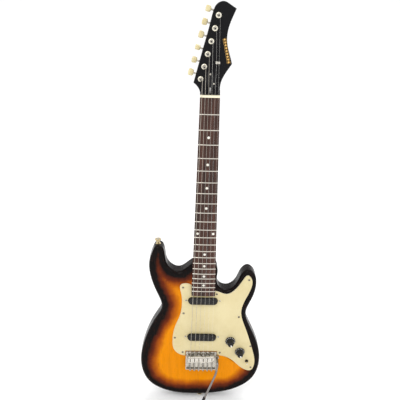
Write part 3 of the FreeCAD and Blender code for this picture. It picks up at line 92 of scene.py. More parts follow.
# ---------------------------------------------------------------- node material tools
class Shader:
    """A material's node tree, with short calls that add and join its nodes."""

    def __init__(self, name: str) -> None:
        """Start an empty material.

        Args:
            name: the material's name.
        """
        self.material = bpy.data.materials.new(name)
        self.material.use_nodes = True
        self.tree = self.material.node_tree
        self.tree.nodes.clear()
        self.output = self.tree.nodes.new("ShaderNodeOutputMaterial")
        self.base = self.tree.nodes.new("ShaderNodeBsdfPrincipled")
        self.tree.links.new(self.base.outputs["BSDF"], self.output.inputs["Surface"])
        place = self.tree.nodes.new("ShaderNodeTexCoord")
        self.place = place.outputs["Object"]

    def put(self, socket: Any, value: Any) -> None:
        """Set a socket to a value, or join another socket to it.

        Args:
            socket: the input.
            value: a number, a colour or an output socket.
        """
        if isinstance(value, bpy.types.NodeSocket):
            self.tree.links.new(value, socket)
        elif isinstance(value, (tuple, list)) and len(value) == 3 and socket.type == "RGBA":
            socket.default_value = (*value, 1.0)
        else:
            socket.default_value = value

    def add(self, kind: str, inputs: Optional[dict[str, Any]] = None, **settings: Any) -> Any:
        """Add a node.

        Args:
            kind: its type without the ShaderNode prefix.
            inputs: values or sockets by input name.
            settings: the node's own properties.

        Returns:
            The node.
        """
        node = self.tree.nodes.new("ShaderNode" + kind)
        for name, value in settings.items():
            setattr(node, name, value)
        for name, value in (inputs or {}).items():
            self.put(node.inputs[name], value)
        return node

    def math(self, operation: str, first: Any, second: Any = 0.0) -> Any:
        """One arithmetic step.

        Args:
            operation: the math node's operation.
            first: a number or socket.
            second: a number or socket.

        Returns:
            The output socket.
        """
        node = self.add("Math", operation=operation)
        self.put(node.inputs[0], first)
        self.put(node.inputs[1], second)
        return node.outputs[0]

    def noise(self, scale: float, detail: float = 4.0, rough: float = 0.55,
              grain: Optional[tuple[float, float, float]] = None) -> Any:
        """Fractal noise.

        Args:
            scale: features per metre.
            detail: octaves.
            rough: how strong the fine octaves are.
            grain: factors on the coordinates; a small one draws the pattern out along its axis.

        Returns:
            The grey output socket.
        """
        place = self.place
        if grain:
            place = self.add("Mapping", {"Vector": place, "Scale": grain}).outputs["Vector"]
        return self.add("TexNoise", {"Vector": place, "Scale": scale, "Detail": detail,
                                     "Roughness": rough}).outputs["Fac"]

    def ramp(self, factor: Any, stops: Sequence[tuple[float, Any]]) -> Any:
        """A colour ramp.

        Args:
            factor: the driving socket.
            stops: (position, colour or grey) pairs.

        Returns:
            The colour output socket.
        """
        node = self.add("ValToRGB", {"Fac": factor})
        points = node.color_ramp.elements
        while len(points) < len(stops):
            points.new(0.5)
        for point, (position, colour) in zip(points, stops):
            point.position = position
            point.color = (*colour, 1.0) if isinstance(colour, tuple) else (colour, colour, colour, 1.0)
        return node.outputs["Color"]

    def spread(self, factor: Any, low: float, high: float, start: float = 0.35, stop: float = 0.65) -> Any:
        """Map a grey pattern to a range of numbers.

        Args:
            factor: the pattern.
            low: the result at and below start.
            high: the result at and above stop.
            start: the pattern's lower end.
            stop: the pattern's upper end.

        Returns:
            The output socket.
        """
        node = self.add("MapRange", {"Value": factor, "From Min": start, "From Max": stop, "To Min": low,
                                     "To Max": high})
        return node.outputs["Result"]

    def mix(self, factor: Any, first: Any, second: Any, blend: str = "MIX") -> Any:
        """Blend two colours.

        Args:
            factor: a number or socket.
            first: a colour or socket.
            second: a colour or socket.
            blend: the blend mode.

        Returns:
            The colour output socket.
        """
        node = self.add("Mix", data_type="RGBA", blend_type=blend)
        self.put(node.inputs["Factor"], factor)
        self.put(node.inputs["A"], first)
        self.put(node.inputs["B"], second)
        return node.outputs["Result"]

    def bump(self, height: Any, strength: float, depth: float, under: Any = None) -> Any:
        """Turn a pattern into relief.

        Args:
            height: the pattern.
            strength: how much of it shows.
            depth: its depth in metres.
            under: a coarser relief below it.

        Returns:
            The normal output socket.
        """
        node = self.add("Bump", {"Height": height, "Strength": strength, "Distance": depth})
        if under is not None:
            self.put(node.inputs["Normal"], under)
        return node.outputs["Normal"]

    def surface(self, **sockets: Any) -> bpy.types.Material:
        """Set the shader's own sockets.

        Args:
            sockets: values or sockets by input name, with _ for a space.

        Returns:
            The material.
        """
        for name, value in sockets.items():
            self.put(self.base.inputs[name.replace("_", " ")], value)
        return self.material


@dataclass(frozen=True)
class Finish:
    """A finish that makes its material once and hands it out."""

    name: str

    def make(self) -> bpy.types.Material:
        """The material, made on first use."""
        return bpy.data.materials.get(self.name) or self.build(Shader(self.name))

    def build(self, shader: Shader) -> bpy.types.Material:
        """Build the nodes; each finish has its own."""
        raise NotImplementedError


@dataclass(frozen=True)
class Metal(Finish):
    """Plated or bare metal with faint wear, haze and brushing."""

    colour: Colour = (0.80, 0.77, 0.72)
    dull: Colour = (0.42, 0.37, 0.30)
    rough: tuple[float, float] = (0.12, 0.32)
    grain: tuple[float, float, float] = (1.0, 1.0, 1.0)
    haze: float = 0.35

    def build(self, shader: Shader) -> bpy.types.Material:
        """Cloudy tarnish over fine brushing.

        Args:
            shader: the tree to build in.

        Returns:
            The material.
        """
        cloud = shader.noise(90.0, 5.0)
        brushed = shader.noise(900.0, 3.0, 0.6, self.grain)
        spots = shader.noise(1400.0, 2.0)
        tarnish = shader.spread(cloud, 0.0, self.haze, 0.48, 0.75)
        tint = shader.mix(tarnish, self.colour, self.dull)
        tint = shader.mix(shader.spread(spots, 0.0, 0.25, 0.66, 0.74), tint, self.dull)
        rough = shader.math("ADD", shader.spread(cloud, *self.rough), shader.spread(brushed, -0.03, 0.05))
        relief = shader.bump(brushed, 0.12, 0.00008)
        return shader.surface(Base_Color=tint, Metallic=1.0, Roughness=rough, Normal=relief)


@dataclass(frozen=True)
class Plastic(Finish):
    """Moulded plastic with aged tint, rubbed patches and fine scratches."""

    colour: Colour = (0.80, 0.74, 0.56)
    aged: Colour = (0.70, 0.61, 0.40)
    rough: tuple[float, float] = (0.16, 0.30)
    soft: float = 0.0
    coat: float = 0.3
    gloss: float = 0.4

    def build(self, shader: Shader) -> bpy.types.Material:
        """Ageing in broad clouds, scratches in two directions.

        Args:
            shader: the tree to build in.

        Returns:
            The material.
        """
        cloud = shader.noise(16.0, 5.0)
        fine = shader.noise(420.0, 4.0)
        scratch_a = shader.noise(520.0, 2.0, 0.5, (1.0, 1.0, 0.05))
        scratch_b = shader.noise(520.0, 2.0, 0.5, (0.06, 1.0, 1.0))
        tint = shader.mix(shader.spread(cloud, 0.0, 0.8), self.colour, self.aged)
        tint = shader.mix(shader.spread(fine, 0.0, 0.18, 0.5, 0.75), tint, self.aged)
        lines = shader.math("MAXIMUM", shader.spread(scratch_a, 0.0, 1.0, 0.66, 0.72),
                            shader.spread(scratch_b, 0.0, 1.0, 0.68, 0.74))
        rough = shader.math("ADD", shader.spread(cloud, *self.rough), shader.math("MULTIPLY", lines, 0.18))
        relief = shader.bump(lines, 0.25, -0.00004, shader.bump(fine, 0.10, 0.00006))
        return shader.surface(Base_Color=tint, Roughness=rough, Normal=relief, Specular_IOR_Level=self.gloss,
                              Coat_Weight=self.coat, Coat_IOR=1.45, Coat_Roughness=0.08,
                              Subsurface_Weight=self.soft, Subsurface_Radius=(1.0, 0.8, 0.5),
                              Subsurface_Scale=0.002)


@dataclass(frozen=True)
class Sunburst(Finish):
    """Three-colour sunburst lacquer over wood grain, from the piece's rim distance."""

    rim: Colour = (0.004, 0.003, 0.003)
    ring: Colour = (0.13, 0.020, 0.004)
    middle: Colour = (0.42, 0.095, 0.002)
    heart: Colour = (0.74, 0.245, 0.0008)
    black_to: float = 0.0145
    ring_at: float = 0.0255
    heart_from: float = 0.049

    def build(self, shader: Shader) -> bpy.types.Material:
        """Colour by distance from the outline, softened by spray mottling.

        Args:
            shader: the tree to build in.

        Returns:
            The material.
        """
        distance = shader.add("Attribute", attribute_name="rim_distance").outputs["Fac"]
        mottle = shader.spread(shader.noise(26.0, 3.0), -0.004, 0.004, 0.3, 0.7)
        distance = shader.math("ADD", distance, mottle)
        # The ramp spans a tenth of a metre, so ten times a distance is its place on the ramp.
        share = shader.math("DIVIDE", distance, 0.1)
        burst = shader.ramp(share, [(0.0, self.rim), (self.black_to * 10, self.rim),
                                    (self.ring_at * 10, self.ring),
                                    ((self.ring_at + self.heart_from) * 5, self.middle),
                                    (self.heart_from * 10, self.heart)])
        grain = shader.noise(34.0, 6.0, 0.6, (3.4, 3.4, 0.22))
        pores = shader.noise(900.0, 2.0, 0.5, (1.0, 1.0, 0.05))
        streak = shader.ramp(grain, [(0.35, (0.62, 0.55, 0.48)), (0.5, (0.9, 0.88, 0.85)),
                                     (0.65, (1.0, 1.0, 1.0))])
        wood = shader.mix(0.28, burst, streak, "MULTIPLY")
        wood = shader.mix(shader.spread(pores, 0.0, 0.30, 0.60, 0.70), wood, (0.10, 0.02, 0.004))
        peel = shader.noise(260.0, 2.0)
        marks = shader.spread(shader.noise(600.0, 2.0, 0.5, (0.08, 1.0, 1.0)), 0.0, 1.0, 0.70, 0.76)
        coat = shader.bump(marks, 0.18, -0.00003, shader.bump(peel, 0.05, 0.0003))
        rough = shader.spread(shader.noise(40.0), 0.20, 0.34)
        return shader.surface(Base_Color=wood, Roughness=rough, Coat_Roughness=0.03, Coat_Normal=coat,
                              Normal=coat, **LACQUER)


@dataclass(frozen=True)
class Rosewood(Finish):
    """Oiled rosewood with dark streaks and open pores along the neck."""

    def build(self, shader: Shader) -> bpy.types.Material:
        """Streaks, then pores, then relief from both.

        Args:
            shader: the tree to build in.

        Returns:
            The material.
        """
        wide = shader.noise(60.0, 6.0, 0.6, (3.0, 3.0, 0.12))
        fine = shader.noise(420.0, 4.0, 0.6, (2.2, 2.2, 0.10))
        pores = shader.noise(1500.0, 1.0, 0.5, (1.0, 1.0, 0.045))
        tint = shader.ramp(wide, [(0.30, (0.016, 0.007, 0.005)), (0.48, (0.060, 0.023, 0.015)),
                                  (0.60, (0.105, 0.042, 0.027)), (0.72, (0.045, 0.017, 0.011))])
        tint = shader.mix(shader.spread(fine, 0.0, 0.55), tint, (0.026, 0.010, 0.007))
        dots = shader.spread(pores, 0.0, 1.0, 0.60, 0.68)
        tint = shader.mix(shader.math("MULTIPLY", dots, 0.8), tint, (0.012, 0.005, 0.003))
        relief = shader.bump(dots, 0.35, -0.00012, shader.bump(fine, 0.12, 0.0001))
        rough = shader.spread(wide, 0.36, 0.52)
        return shader.surface(Base_Color=tint, Roughness=rough, Normal=relief, Specular_IOR_Level=0.3)


@dataclass(frozen=True)
class WoundSteel(Finish):
    """A wound string: fine turns of nickel wire over a steel core."""

    pitch: float = 0.00030

    def build(self, shader: Shader) -> bpy.types.Material:
        """Rings along the string, with painted shade between turns.

        Args:
            shader: the tree to build in.

        Returns:
            The material.
        """
        up = shader.add("SeparateXYZ", {"Vector": shader.place}).outputs["Z"]
        turn = shader.math("SINE", shader.math("MULTIPLY", up, 2 * math.pi / self.pitch))
        height = shader.spread(turn, 0.0, 1.0, -1.0, 1.0)
        grime = shader.noise(60.0, 4.0)
        # Painted shade: the colour darkens to the dark tint in the troughs between the turns.
        tint = shader.mix(shader.spread(height, 0.55, 0.0, 0.0, 0.6), (0.66, 0.62, 0.55), (0.12, 0.09, 0.07))
        tint = shader.mix(shader.spread(grime, 0.0, 0.4), tint, (0.30, 0.24, 0.18))
        relief = shader.bump(height, 0.6, 0.00008)
        return shader.surface(Base_Color=tint, Metallic=1.0, Roughness=shader.spread(grime, 0.26, 0.42),
                              Normal=relief)


@dataclass(frozen=True)
class NeckLacquer(Finish):
    """Dark brown wood up the shaft, sprayed black over the headstock."""

    black_from: float = 0.795
    fade: float = 0.03

    def build(self, shader: Shader) -> bpy.types.Material:
        """Brown grain that fades to black above the nut.

        Args:
            shader: the tree to build in.

        Returns:
            The material.
        """
        up = shader.add("SeparateXYZ", {"Vector": shader.place}).outputs["Z"]
        black = shader.spread(up, 0.0, 1.0, self.black_from - self.fade, self.black_from)
        grain = shader.noise(70.0, 6.0, 0.6, (3.0, 3.0, 0.12))
        pores = shader.noise(1100.0, 2.0, 0.5, (1.0, 1.0, 0.05))
        wood = shader.ramp(grain, [(0.32, (0.060, 0.022, 0.010)), (0.5, (0.120, 0.045, 0.018)),
                                   (0.68, (0.165, 0.066, 0.027))])
        wood = shader.mix(shader.spread(pores, 0.0, 0.5, 0.60, 0.70), wood, (0.030, 0.010, 0.005))
        dust = shader.spread(shader.noise(1500.0, 2.0), 0.0, 0.4, 0.68, 0.75)
        paint_black = shader.mix(dust, (0.008, 0.008, 0.009), (0.09, 0.085, 0.08))
        tint = shader.mix(black, wood, paint_black)
        peel = shader.bump(shader.noise(240.0, 2.0), 0.05, 0.0003)
        rough = shader.spread(shader.noise(40.0, 4.0), 0.18, 0.34)
        return shader.surface(Base_Color=tint, Roughness=rough, Coat_Roughness=0.05, Coat_Normal=peel,
                              Normal=peel, **LACQUER)


@dataclass(frozen=True)
class StudioPaint(Finish):
    """The plain pale floor's paint."""

    def build(self, shader: Shader) -> bpy.types.Material:
        """Matt white.

        Args:
            shader: the tree to build in.

        Returns:
            The material.
        """
        grain = shader.noise(30.0, 2.0)
        tint = shader.mix(shader.spread(grain, 0.0, 1.0), (0.93, 0.93, 0.93), (0.95, 0.95, 0.95))
        return shader.surface(Base_Color=tint, Roughness=0.9)


SUNBURST = Sunburst("sunburst_lacquer")
ROSEWOOD = Rosewood("oiled_rosewood")
NICKEL = Metal("worn_nickel", (0.52, 0.49, 0.43), (0.20, 0.17, 0.13), (0.14, 0.34), EVEN, 0.45)
# Screw metal coloured dark all over.
DARK_SCREW = Metal("dark_screw_metal", (0.27, 0.24, 0.19), (0.10, 0.08, 0.06), (0.28, 0.46), EVEN, 0.5)
# The arm's chrome colour is painted dark: a painted reflection of the dark surroundings that the arm shows.
ARM_CHROME = Metal("arm_chrome", (0.24, 0.23, 0.22), (0.07, 0.06, 0.05), (0.10, 0.24), (1.0, 1.0, 0.1), 0.4)
BRIGHT = Metal("bright_nickel", (0.72, 0.69, 0.63), (0.34, 0.29, 0.22), (0.09, 0.24), EVEN, 0.4)
BUSHING = Metal("bushing_nickel", (0.92, 0.88, 0.74), (0.62, 0.54, 0.38), (0.12, 0.26), EVEN, 0.3)
BRASS = Metal("strap_brass", (0.62, 0.50, 0.28), (0.26, 0.19, 0.09), (0.14, 0.32), EVEN, 0.5)
DARK_NUT = Metal("dark_nut", (0.085, 0.075, 0.065), (0.03, 0.025, 0.02), (0.18, 0.34), EVEN, 0.4)
FRET_METAL = Metal("fret_wire", (0.95, 0.84, 0.58), (0.60, 0.47, 0.26), (0.2, 0.38), (1.0, 1.0, 0.05), 0.3)
STEEL = Metal("spring_steel", (0.52, 0.51, 0.50), (0.20, 0.17, 0.15), (0.25, 0.42), (1.0, 1.0, 0.08), 0.5)
STRING_STEEL = Metal("plain_string", (0.72, 0.70, 0.66), (0.38, 0.32, 0.25), (0.16, 0.30),
                     (1.0, 1.0, 0.02), 0.3)
WOUND = WoundSteel("wound_string")
GILT = Metal("gilt_line", (0.86, 0.52, 0.16), (0.50, 0.26, 0.07), (0.22, 0.38), EVEN, 0.5)
COPPER = Metal("copper_winding", (0.66, 0.30, 0.14), (0.30, 0.12, 0.06), (0.30, 0.45), (0.05, 1.0, 1.0), 0.4)
CREAM = Plastic("aged_cream", (0.67, 0.58, 0.33), (0.59, 0.49, 0.25))
CREAM_EDGE = Plastic("bevelled_cream", (0.86, 0.81, 0.62), (0.74, 0.66, 0.44), (0.3, 0.45), 0.0, 0.1)
IVORY = Plastic("ivory_button", (0.74, 0.66, 0.40), (0.62, 0.50, 0.24), (0.18, 0.32), 0.15)
BONE = Plastic("nut_bone", (0.72, 0.64, 0.42), (0.55, 0.44, 0.24), (0.3, 0.45), 0.1, 0.0)
PEARL = Plastic("dot_pearl", (0.84, 0.82, 0.74), (0.66, 0.64, 0.56), (0.12, 0.22), 0.1)
BLACK = Plastic("black_moulding", (0.010, 0.010, 0.011), (0.020, 0.019, 0.018), (0.18, 0.34), 0.0, 0.2, 0.12)
WHITE_MARK = Plastic("white_mark", (0.86, 0.85, 0.80), (0.70, 0.68, 0.60), (0.3, 0.45), 0.0, 0.0)
WIRE_RED = Plastic("wire_cover", (0.42, 0.03, 0.02), (0.28, 0.02, 0.02), (0.4, 0.55), 0.0, 0.0)
NECK_LACQUER = NeckLacquer("neck_lacquer")
STUDIO_PAINT = StudioPaint("studio_paint")


def string_finish(index: int) -> Finish:
    """A string's finish, by its number from the lowest-sounding one."""
    return WOUND if index < WOUND_STRINGS else STRING_STEEL


# ---------------------------------------------------------------- mesh tools
def joint_place(name: str) -> Vector:
    """The place of a joint's axis.

    Args:
        name: the joint.

    Returns:
        A point in metres.
    """
    found = [joint for joint in frame["joints"] if joint["name"] == name]
    return Vector(found[0]["pos_m"])


def joint_axis(name: str) -> Vector:
    """The direction of a joint's axis as a unit vector."""
    found = [joint for joint in frame["joints"] if joint["name"] == name]
    return Vector(found[0]["axis"]).normalized()


def object_of(name: str, mesh: bpy.types.Mesh) -> bpy.types.Object:
    """Put a mesh in the scene.

    Args:
        name: the object's name.
        mesh: its mesh.

    Returns:
        The object.
    """
    piece = bpy.data.objects.new(name, mesh)
    bpy.context.scene.collection.objects.link(piece)
    return piece


def mesh_from(name: str, vertices: Sequence[Any], faces: Sequence[Sequence[int]]) -> bpy.types.Object:
    """A new object from vertices and faces.

    Args:
        name: the object's name.
        vertices: its places.
        faces: the vertex numbers round each face.

    Returns:
        The object.
    """
    mesh = bpy.data.meshes.new(name)
    mesh.from_pydata([tuple(point) for point in vertices], [], [tuple(face) for face in faces])
    mesh.update()
    return object_of(name, mesh)


def shade(piece: bpy.types.Object, angle: float = 35.0) -> bpy.types.Object:
    """Smooth shading, with edges sharper than the angle kept crisp.

    Args:
        piece: a mesh object.
        angle: in degrees.

    Returns:
        The object.
    """
    mesh = piece.data
    mesh.polygons.foreach_set("use_smooth", [True] * len(mesh.polygons))
    mesh.set_sharp_from_angle(angle=math.radians(angle))
    mesh.update()
    return piece


def dress(piece: bpy.types.Object, finish: Finish, body: str,
          replaces: Iterable[str] = (), angle: float = 35.0) -> bpy.types.Object:
    """Give a piece its finish, its body and the nodes that it stands for.

    Args:
        piece: a mesh object.
        finish: its finish.
        body: the body that it rides on.
        replaces: the CAD nodes that it stands for.
        angle: the sharpest smooth edge, in degrees.

    Returns:
        The object.
    """
    piece.data.materials.clear()
    piece.data.materials.append(finish.make())
    shade(piece, angle)
    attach(piece, body)
    if replaces:
        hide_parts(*replaces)
    LOG.info("%s: %d vertices", piece.name, len(piece.data.vertices))
    return piece


def paint(node: str, finish: Finish) -> None:
    """Give a CAD node a finish.

    Args:
        node: the node.
        finish: its finish.
    """
    mesh = frame["nodes"][node].data
    mesh.materials.clear()
    mesh.materials.append(finish.make())
    LOG.info("%s: painted", node)


def welded(node: str) -> bmesh.types.BMesh:
    """A CAD node's mesh with its doubled vertices joined.

    Args:
        node: its name.

    Returns:
        A new bmesh.
    """
    shape = bmesh.new()
    shape.from_mesh(frame["nodes"][node].data)
    bmesh.ops.remove_doubles(shape, verts=shape.verts, dist=WELD)
    return shape


def settled(name: str, shape: bmesh.types.BMesh) -> bpy.types.Object:
    """Use up a bmesh as a new object's mesh.

    Args:
        name: the object's name.
        shape: its shape.

    Returns:
        The object.
    """
    mesh = bpy.data.meshes.new(name)
    shape.to_mesh(mesh)
    shape.free()
    return object_of(name, mesh)


def soften(node: str, name: str, width: float, finish: Finish, body: str, segments: int = 2,
           sharp: float = 40.0, angle: float = 35.0) -> bpy.types.Object:
    """Stand a copy with rounded edges in a CAD node's place.

    Args:
        node: the node.
        name: the new object's name.
        width: the rounding, in metres.
        finish: its finish.
        body: the body that it rides on.
        segments: steps across the rounding.
        sharp: edges sharper than this are rounded, in degrees.
        angle: the sharpest smooth edge afterwards, in degrees.

    Returns:
        The object.
    """
    shape = welded(node)
    bmesh.ops.dissolve_limit(shape, angle_limit=FLAT_SEAM, verts=shape.verts, edges=shape.edges)
    edges = [edge for edge in shape.edges
             if len(edge.link_faces) == 2 and edge.calc_face_angle(0.0) > math.radians(sharp)]
    bmesh.ops.bevel(shape, geom=edges, offset=width, segments=segments, profile=0.5, affect="EDGES",
                    clamp_overlap=True)
    bmesh.ops.triangulate(shape, faces=[face for face in shape.faces if len(face.verts) > 4])
    return dress(settled(name, shape), finish, body, [node], angle)


def turned(name: str, profile: Sequence[tuple[float, float]], centre: Vector, axis: Vector, steps: int = 48,
           flute: Optional[Callable[[float, int], float]] = None) -> bpy.types.Object:
    """A turned piece: a profile of (radius, height) swept round an axis.

    Args:
        name: the object's name.
        profile: from the middle of one end to the middle of the other.
        centre: where height 0 is.
        axis: the direction of height.
        steps: segments round the axis.
        flute: a factor on the radius by angle and profile index.

    Returns:
        The object.
    """
    turn = Vector((0.0, 0.0, 1.0)).rotation_difference(axis.normalized()).to_matrix().to_4x4()
    place = Matrix.Translation(centre) @ turn
    vertices: list[Vector] = []
    rows: list[list[int]] = []
    for index, (radius, height) in enumerate(profile):
        if radius < 1e-7:
            rows.append([len(vertices)])
            vertices.append(place @ Vector((0.0, 0.0, height)))
            continue
        rows.append(list(range(len(vertices), len(vertices) + steps)))
        for step in range(steps):
            angle = 2 * math.pi * step / steps
            reach = radius * (flute(angle, index) if flute else 1.0)
            vertices.append(place @ Vector((reach * math.cos(angle), reach * math.sin(angle), height)))
    faces: list[tuple[int, ...]] = []
    for low, high in zip(rows, rows[1:]):
        if len(low) == len(high) == steps:
            faces.extend(band(low, high))
        elif len(high) == steps:
            faces.extend((low[0], high[(step + 1) % steps], high[step]) for step in range(steps))
        elif len(low) == steps:
            faces.extend((low[step], low[(step + 1) % steps], high[0]) for step in range(steps))
    return outward(mesh_from(name, vertices, faces))


def band(low: Sequence[int], high: Sequence[int]) -> list[tuple[int, ...]]:
    """The faces between two rings of as many vertices.

    Args:
        low: the vertex numbers round one ring.
        high: those round the other.

    Returns:
        One face a step.
    """
    count = len(low)
    return [(low[step], low[(step + 1) % count], high[(step + 1) % count], high[step])
            for step in range(count)]


def outward(piece: bpy.types.Object) -> bpy.types.Object:
    """Turn every face to look out.

    Args:
        piece: a mesh object.

    Returns:
        The same object.
    """
    shape = bmesh.new()
    shape.from_mesh(piece.data)
    bmesh.ops.recalc_face_normals(shape, faces=shape.faces)
    shape.to_mesh(piece.data)
    shape.free()
    return piece


def tube(name: str, points: Sequence[Vector], radii: Sequence[float], sides: int = 10) -> bpy.types.Object:
    """A closed tube along points.

    Args:
        name: the object's name.
        points: its centre line.
        radii: one radius a point.
        sides: segments round it.

    Returns:
        The object.
    """
    vertices: list[Vector] = []
    faces: list[tuple[int, ...]] = []
    tangent = (points[1] - points[0]).normalized()
    side = tangent.orthogonal().normalized()
    for index, point in enumerate(points):
        before = points[max(index - 1, 0)]
        after = points[min(index + 1, len(points) - 1)]
        heading = (after - before).normalized()
        side = (side - heading * side.dot(heading)).normalized()
        other = heading.cross(side)
        for step in range(sides):
            angle = 2 * math.pi * step / sides
            reach = side * math.cos(angle) + other * math.sin(angle)
            vertices.append(point + reach * radii[index])
    for start in range(0, len(vertices) - sides, sides):
        faces.extend(band(range(start, start + sides), range(start + sides, start + 2 * sides)))
    faces.append(tuple(reversed(range(sides))))
    faces.append(tuple(range(len(vertices) - sides, len(vertices))))
    return outward(mesh_from(name, vertices, faces))


def rounded(route: Sequence[Vector], reach: float, step_length: float) -> list[Vector]:
    """Round a route's corners with short curves and divide its runs.

    Args:
        route: the corners.
        reach: how far from a corner its curve starts.
        step_length: the longest run between points.

    Returns:
        The points.
    """
    path = [route[0]]
    for before, corner, after in zip(route, route[1:], route[2:]):
        first = corner + (before - corner).normalized() * min(reach, (before - corner).length * 0.45)
        last = corner + (after - corner).normalized() * min(reach, (after - corner).length * 0.45)
        for step in range(7):
            share = step / 6
            path.append(first.lerp(corner, share).lerp(corner.lerp(last, share), share))
    path.append(route[-1])
    fine = [path[0]]
    for before, after in zip(path, path[1:]):
        count = max(1, int((after - before).length / step_length))
        fine.extend(before.lerp(after, step / count) for step in range(1, count + 1))
    return fine


def joined(name: str, pieces: Sequence[bpy.types.Object]) -> bpy.types.Object:
    """One object from several meshes.

    Args:
        name: the new object's name.
        pieces: the meshes, which are used up.

    Returns:
        The object.
    """
    shape = bmesh.new()
    for piece in pieces:
        shape.from_mesh(piece.data)
        bpy.data.objects.remove(piece)
    return settled(name, shape)


def middle_of(points: Iterable[Vector]) -> Vector:
    """The middle of the box round some points."""
    low, high = span_of(points)
    return (low + high) / 2


def span_of(points: Iterable[Vector]) -> tuple[Vector, Vector]:
    """The lowest and the highest corner round some points."""
    columns = list(zip(*points))
    return Vector([min(column) for column in columns]), Vector([max(column) for column in columns])


def solids_of(node: str) -> list[list[Vector]]:
    """The vertices of a CAD node's separate solids.

    Args:
        node: its name.

    Returns:
        One list of places a solid.
    """
    shape = welded(node)
    shape.verts.index_update()
    seen: set[int] = set()
    solids: list[list[Vector]] = []
    for first in shape.verts:
        if first.index in seen:
            continue
        seen.add(first.index)
        group = [first]
        for vertex in group:
            for edge in vertex.link_edges:
                other = edge.other_vert(vertex)
                if other.index not in seen:
                    seen.add(other.index)
                    group.append(other)
        solids.append([vertex.co.copy() for vertex in sorted(group, key=lambda vertex: vertex.index)])
    shape.free()
    return solids


def islands(node: str) -> list[tuple[Vector, Vector]]:
    """The (lowest, highest) corners of a CAD node's separate solids, in a steady order."""
    boxes = [span_of(points) for points in solids_of(node)]
    return sorted(boxes, key=lambda pair: tuple(round(c, 4) for c in (pair[0] + pair[1])))


def stretch(piece: bpy.types.Object, finish: Finish, replaces: Iterable[str]) -> None:
    """Dress a piece that stretches between the guitar and the bridge.

    Args:
        piece: a mesh object.
        finish: its finish.
        replaces: the CAD nodes that it stands for.
    """
    piece.data.materials.append(finish.make())
    shade(piece, 60.0)
    if replaces:
        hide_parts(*replaces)
    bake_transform(piece)
    LOG.info("%s: %d vertices", piece.name, len(piece.data.vertices))


# ---------------------------------------------------------------- fasteners and springs
@dataclass
class ScrewHead:
    """A raised screw head with a cross slot."""

    radius: float = 0.0029
    rise: float = 0.0011
    slot_width: float = 0.00042
    slot_reach: float = 0.62
    slot_depth: float = 0.0009
    rings: int = 12
    steps: int = 48
    neck_share: float = 0.5
    neck_depth: float = 1.6
    shank_share: float = 0.42
    first_twist: float = 0.7
    twist_step: float = 1.9
    finish: Finish = NICKEL

    def build(self, name: str, face: Vector, outward_axis: Vector, shank: float,
              twist: float) -> bpy.types.Object:
        """Make the head and a short shank.

        Args:
            name: the object's name.
            face: the middle of the seat, level with the sheet that it holds.
            outward_axis: the way the head looks.
            shank: the shank's length behind the seat.
            twist: the slot's turn, in radians.

        Returns:
            The object.
        """
        turn = Vector((0.0, 0.0, 1.0)).rotation_difference(outward_axis).to_matrix().to_4x4()
        place = Matrix.Translation(face) @ turn
        vertices = [place @ Vector((0.0, 0.0, self.height(0.0, 0.0)))]
        for ring in range(1, self.rings + 1):
            for step in range(self.steps):
                angle = 2 * math.pi * step / self.steps
                reach = self.radius * ring / self.rings
                across = reach * math.cos(angle + twist)
                along = reach * math.sin(angle + twist)
                vertices.append(place @ Vector((reach * math.cos(angle), reach * math.sin(angle),
                                                self.height(across, along))))
        last = len(vertices) - self.steps
        for radius, depth in ((self.radius * self.neck_share, -self.rise * self.neck_depth),
                              (self.radius * self.shank_share, -shank)):
            for step in range(self.steps):
                angle = 2 * math.pi * step / self.steps
                vertices.append(place @ Vector((radius * math.cos(angle), radius * math.sin(angle), depth)))
        faces = [(0, 1 + step, 1 + (step + 1) % self.steps) for step in range(self.steps)]
        for ring in range(self.rings + 1):
            start = 1 + ring * self.steps
            for step in range(self.steps):
                following = (step + 1) % self.steps
                faces.append((start + step, start + self.steps + step, start + self.steps + following,
                              start + following))
        faces.append(tuple(range(last + 2 * self.steps, last + 3 * self.steps)))
        return outward(mesh_from(name, vertices, faces))

    def height(self, across: float, along: float) -> float:
        """The head's height over its seat at a point.

        Args:
            across: distance across the slot's frame.
            along: distance along it.

        Returns:
            The height in metres.
        """
        reach = math.hypot(across, along) / self.radius
        dome = self.rise * (1 - reach ** 2) ** 0.5 if reach < 1 else 0.0
        slot_end = self.radius * self.slot_reach
        in_slot = abs(along) < self.slot_width and abs(across) < slot_end
        in_cross = abs(across) < self.slot_width and abs(along) < slot_end
        return dome - self.slot_depth * (1 - 0.5 * reach) if in_slot or in_cross else dome

    def heads(self, name: str, node: str, body: str, back_over: float = 1.0,
              shank: float = 0.006) -> bpy.types.Object:
        """A head on each screw of a CAD node.

        Args:
            name: the new object's name.
            node: the CAD node of screws.
            body: the body that they ride on.
            back_over: screws whose rear end lies behind this level look backwards.
            shank: the shank's length.

        Returns:
            The object.
        """
        pieces = []
        for index, (low, high) in enumerate(islands(node)):
            middle = (low + high) / 2
            looks_back = high.y > back_over
            out = (Axis.BACK if looks_back else Axis.FRONT).vector
            face = Vector((middle.x, high.y if looks_back else low.y, middle.z))
            twist = self.first_twist + self.twist_step * index
            pieces.append(self.build("%s_%d" % (name, index), face, out, shank, twist))
        return dress(joined(name, pieces), self.finish, body, [node], 40.0)


@dataclass
class CoilSpring:
    """A helical spring of round wire."""

    wire: float
    turns: int
    steps: int = 14
    sides: int = 6

    def build(self, name: str, low: Vector, high: Vector) -> bpy.types.Object:
        """Wind the spring upwards in a box.

        Args:
            name: the object's name.
            low: the box's lowest corner.
            high: its highest corner.

        Returns:
            The object.
        """
        middle = (low + high) / 2
        radius = (high.x - low.x) / 2 - self.wire
        start = Vector((middle.x, middle.y, low.z))
        axis = Vector((middle.x, middle.y, high.z)) - start
        side = axis.orthogonal().normalized()
        other = axis.normalized().cross(side)
        count = self.turns * self.steps
        points = []
        for index in range(count + 1):
            angle = 2 * math.pi * index / self.steps
            reach = (side * math.cos(angle) + other * math.sin(angle)) * radius
            points.append(start + axis * (index / count) + reach)
        return tube(name, points, [self.wire] * len(points), self.sides)


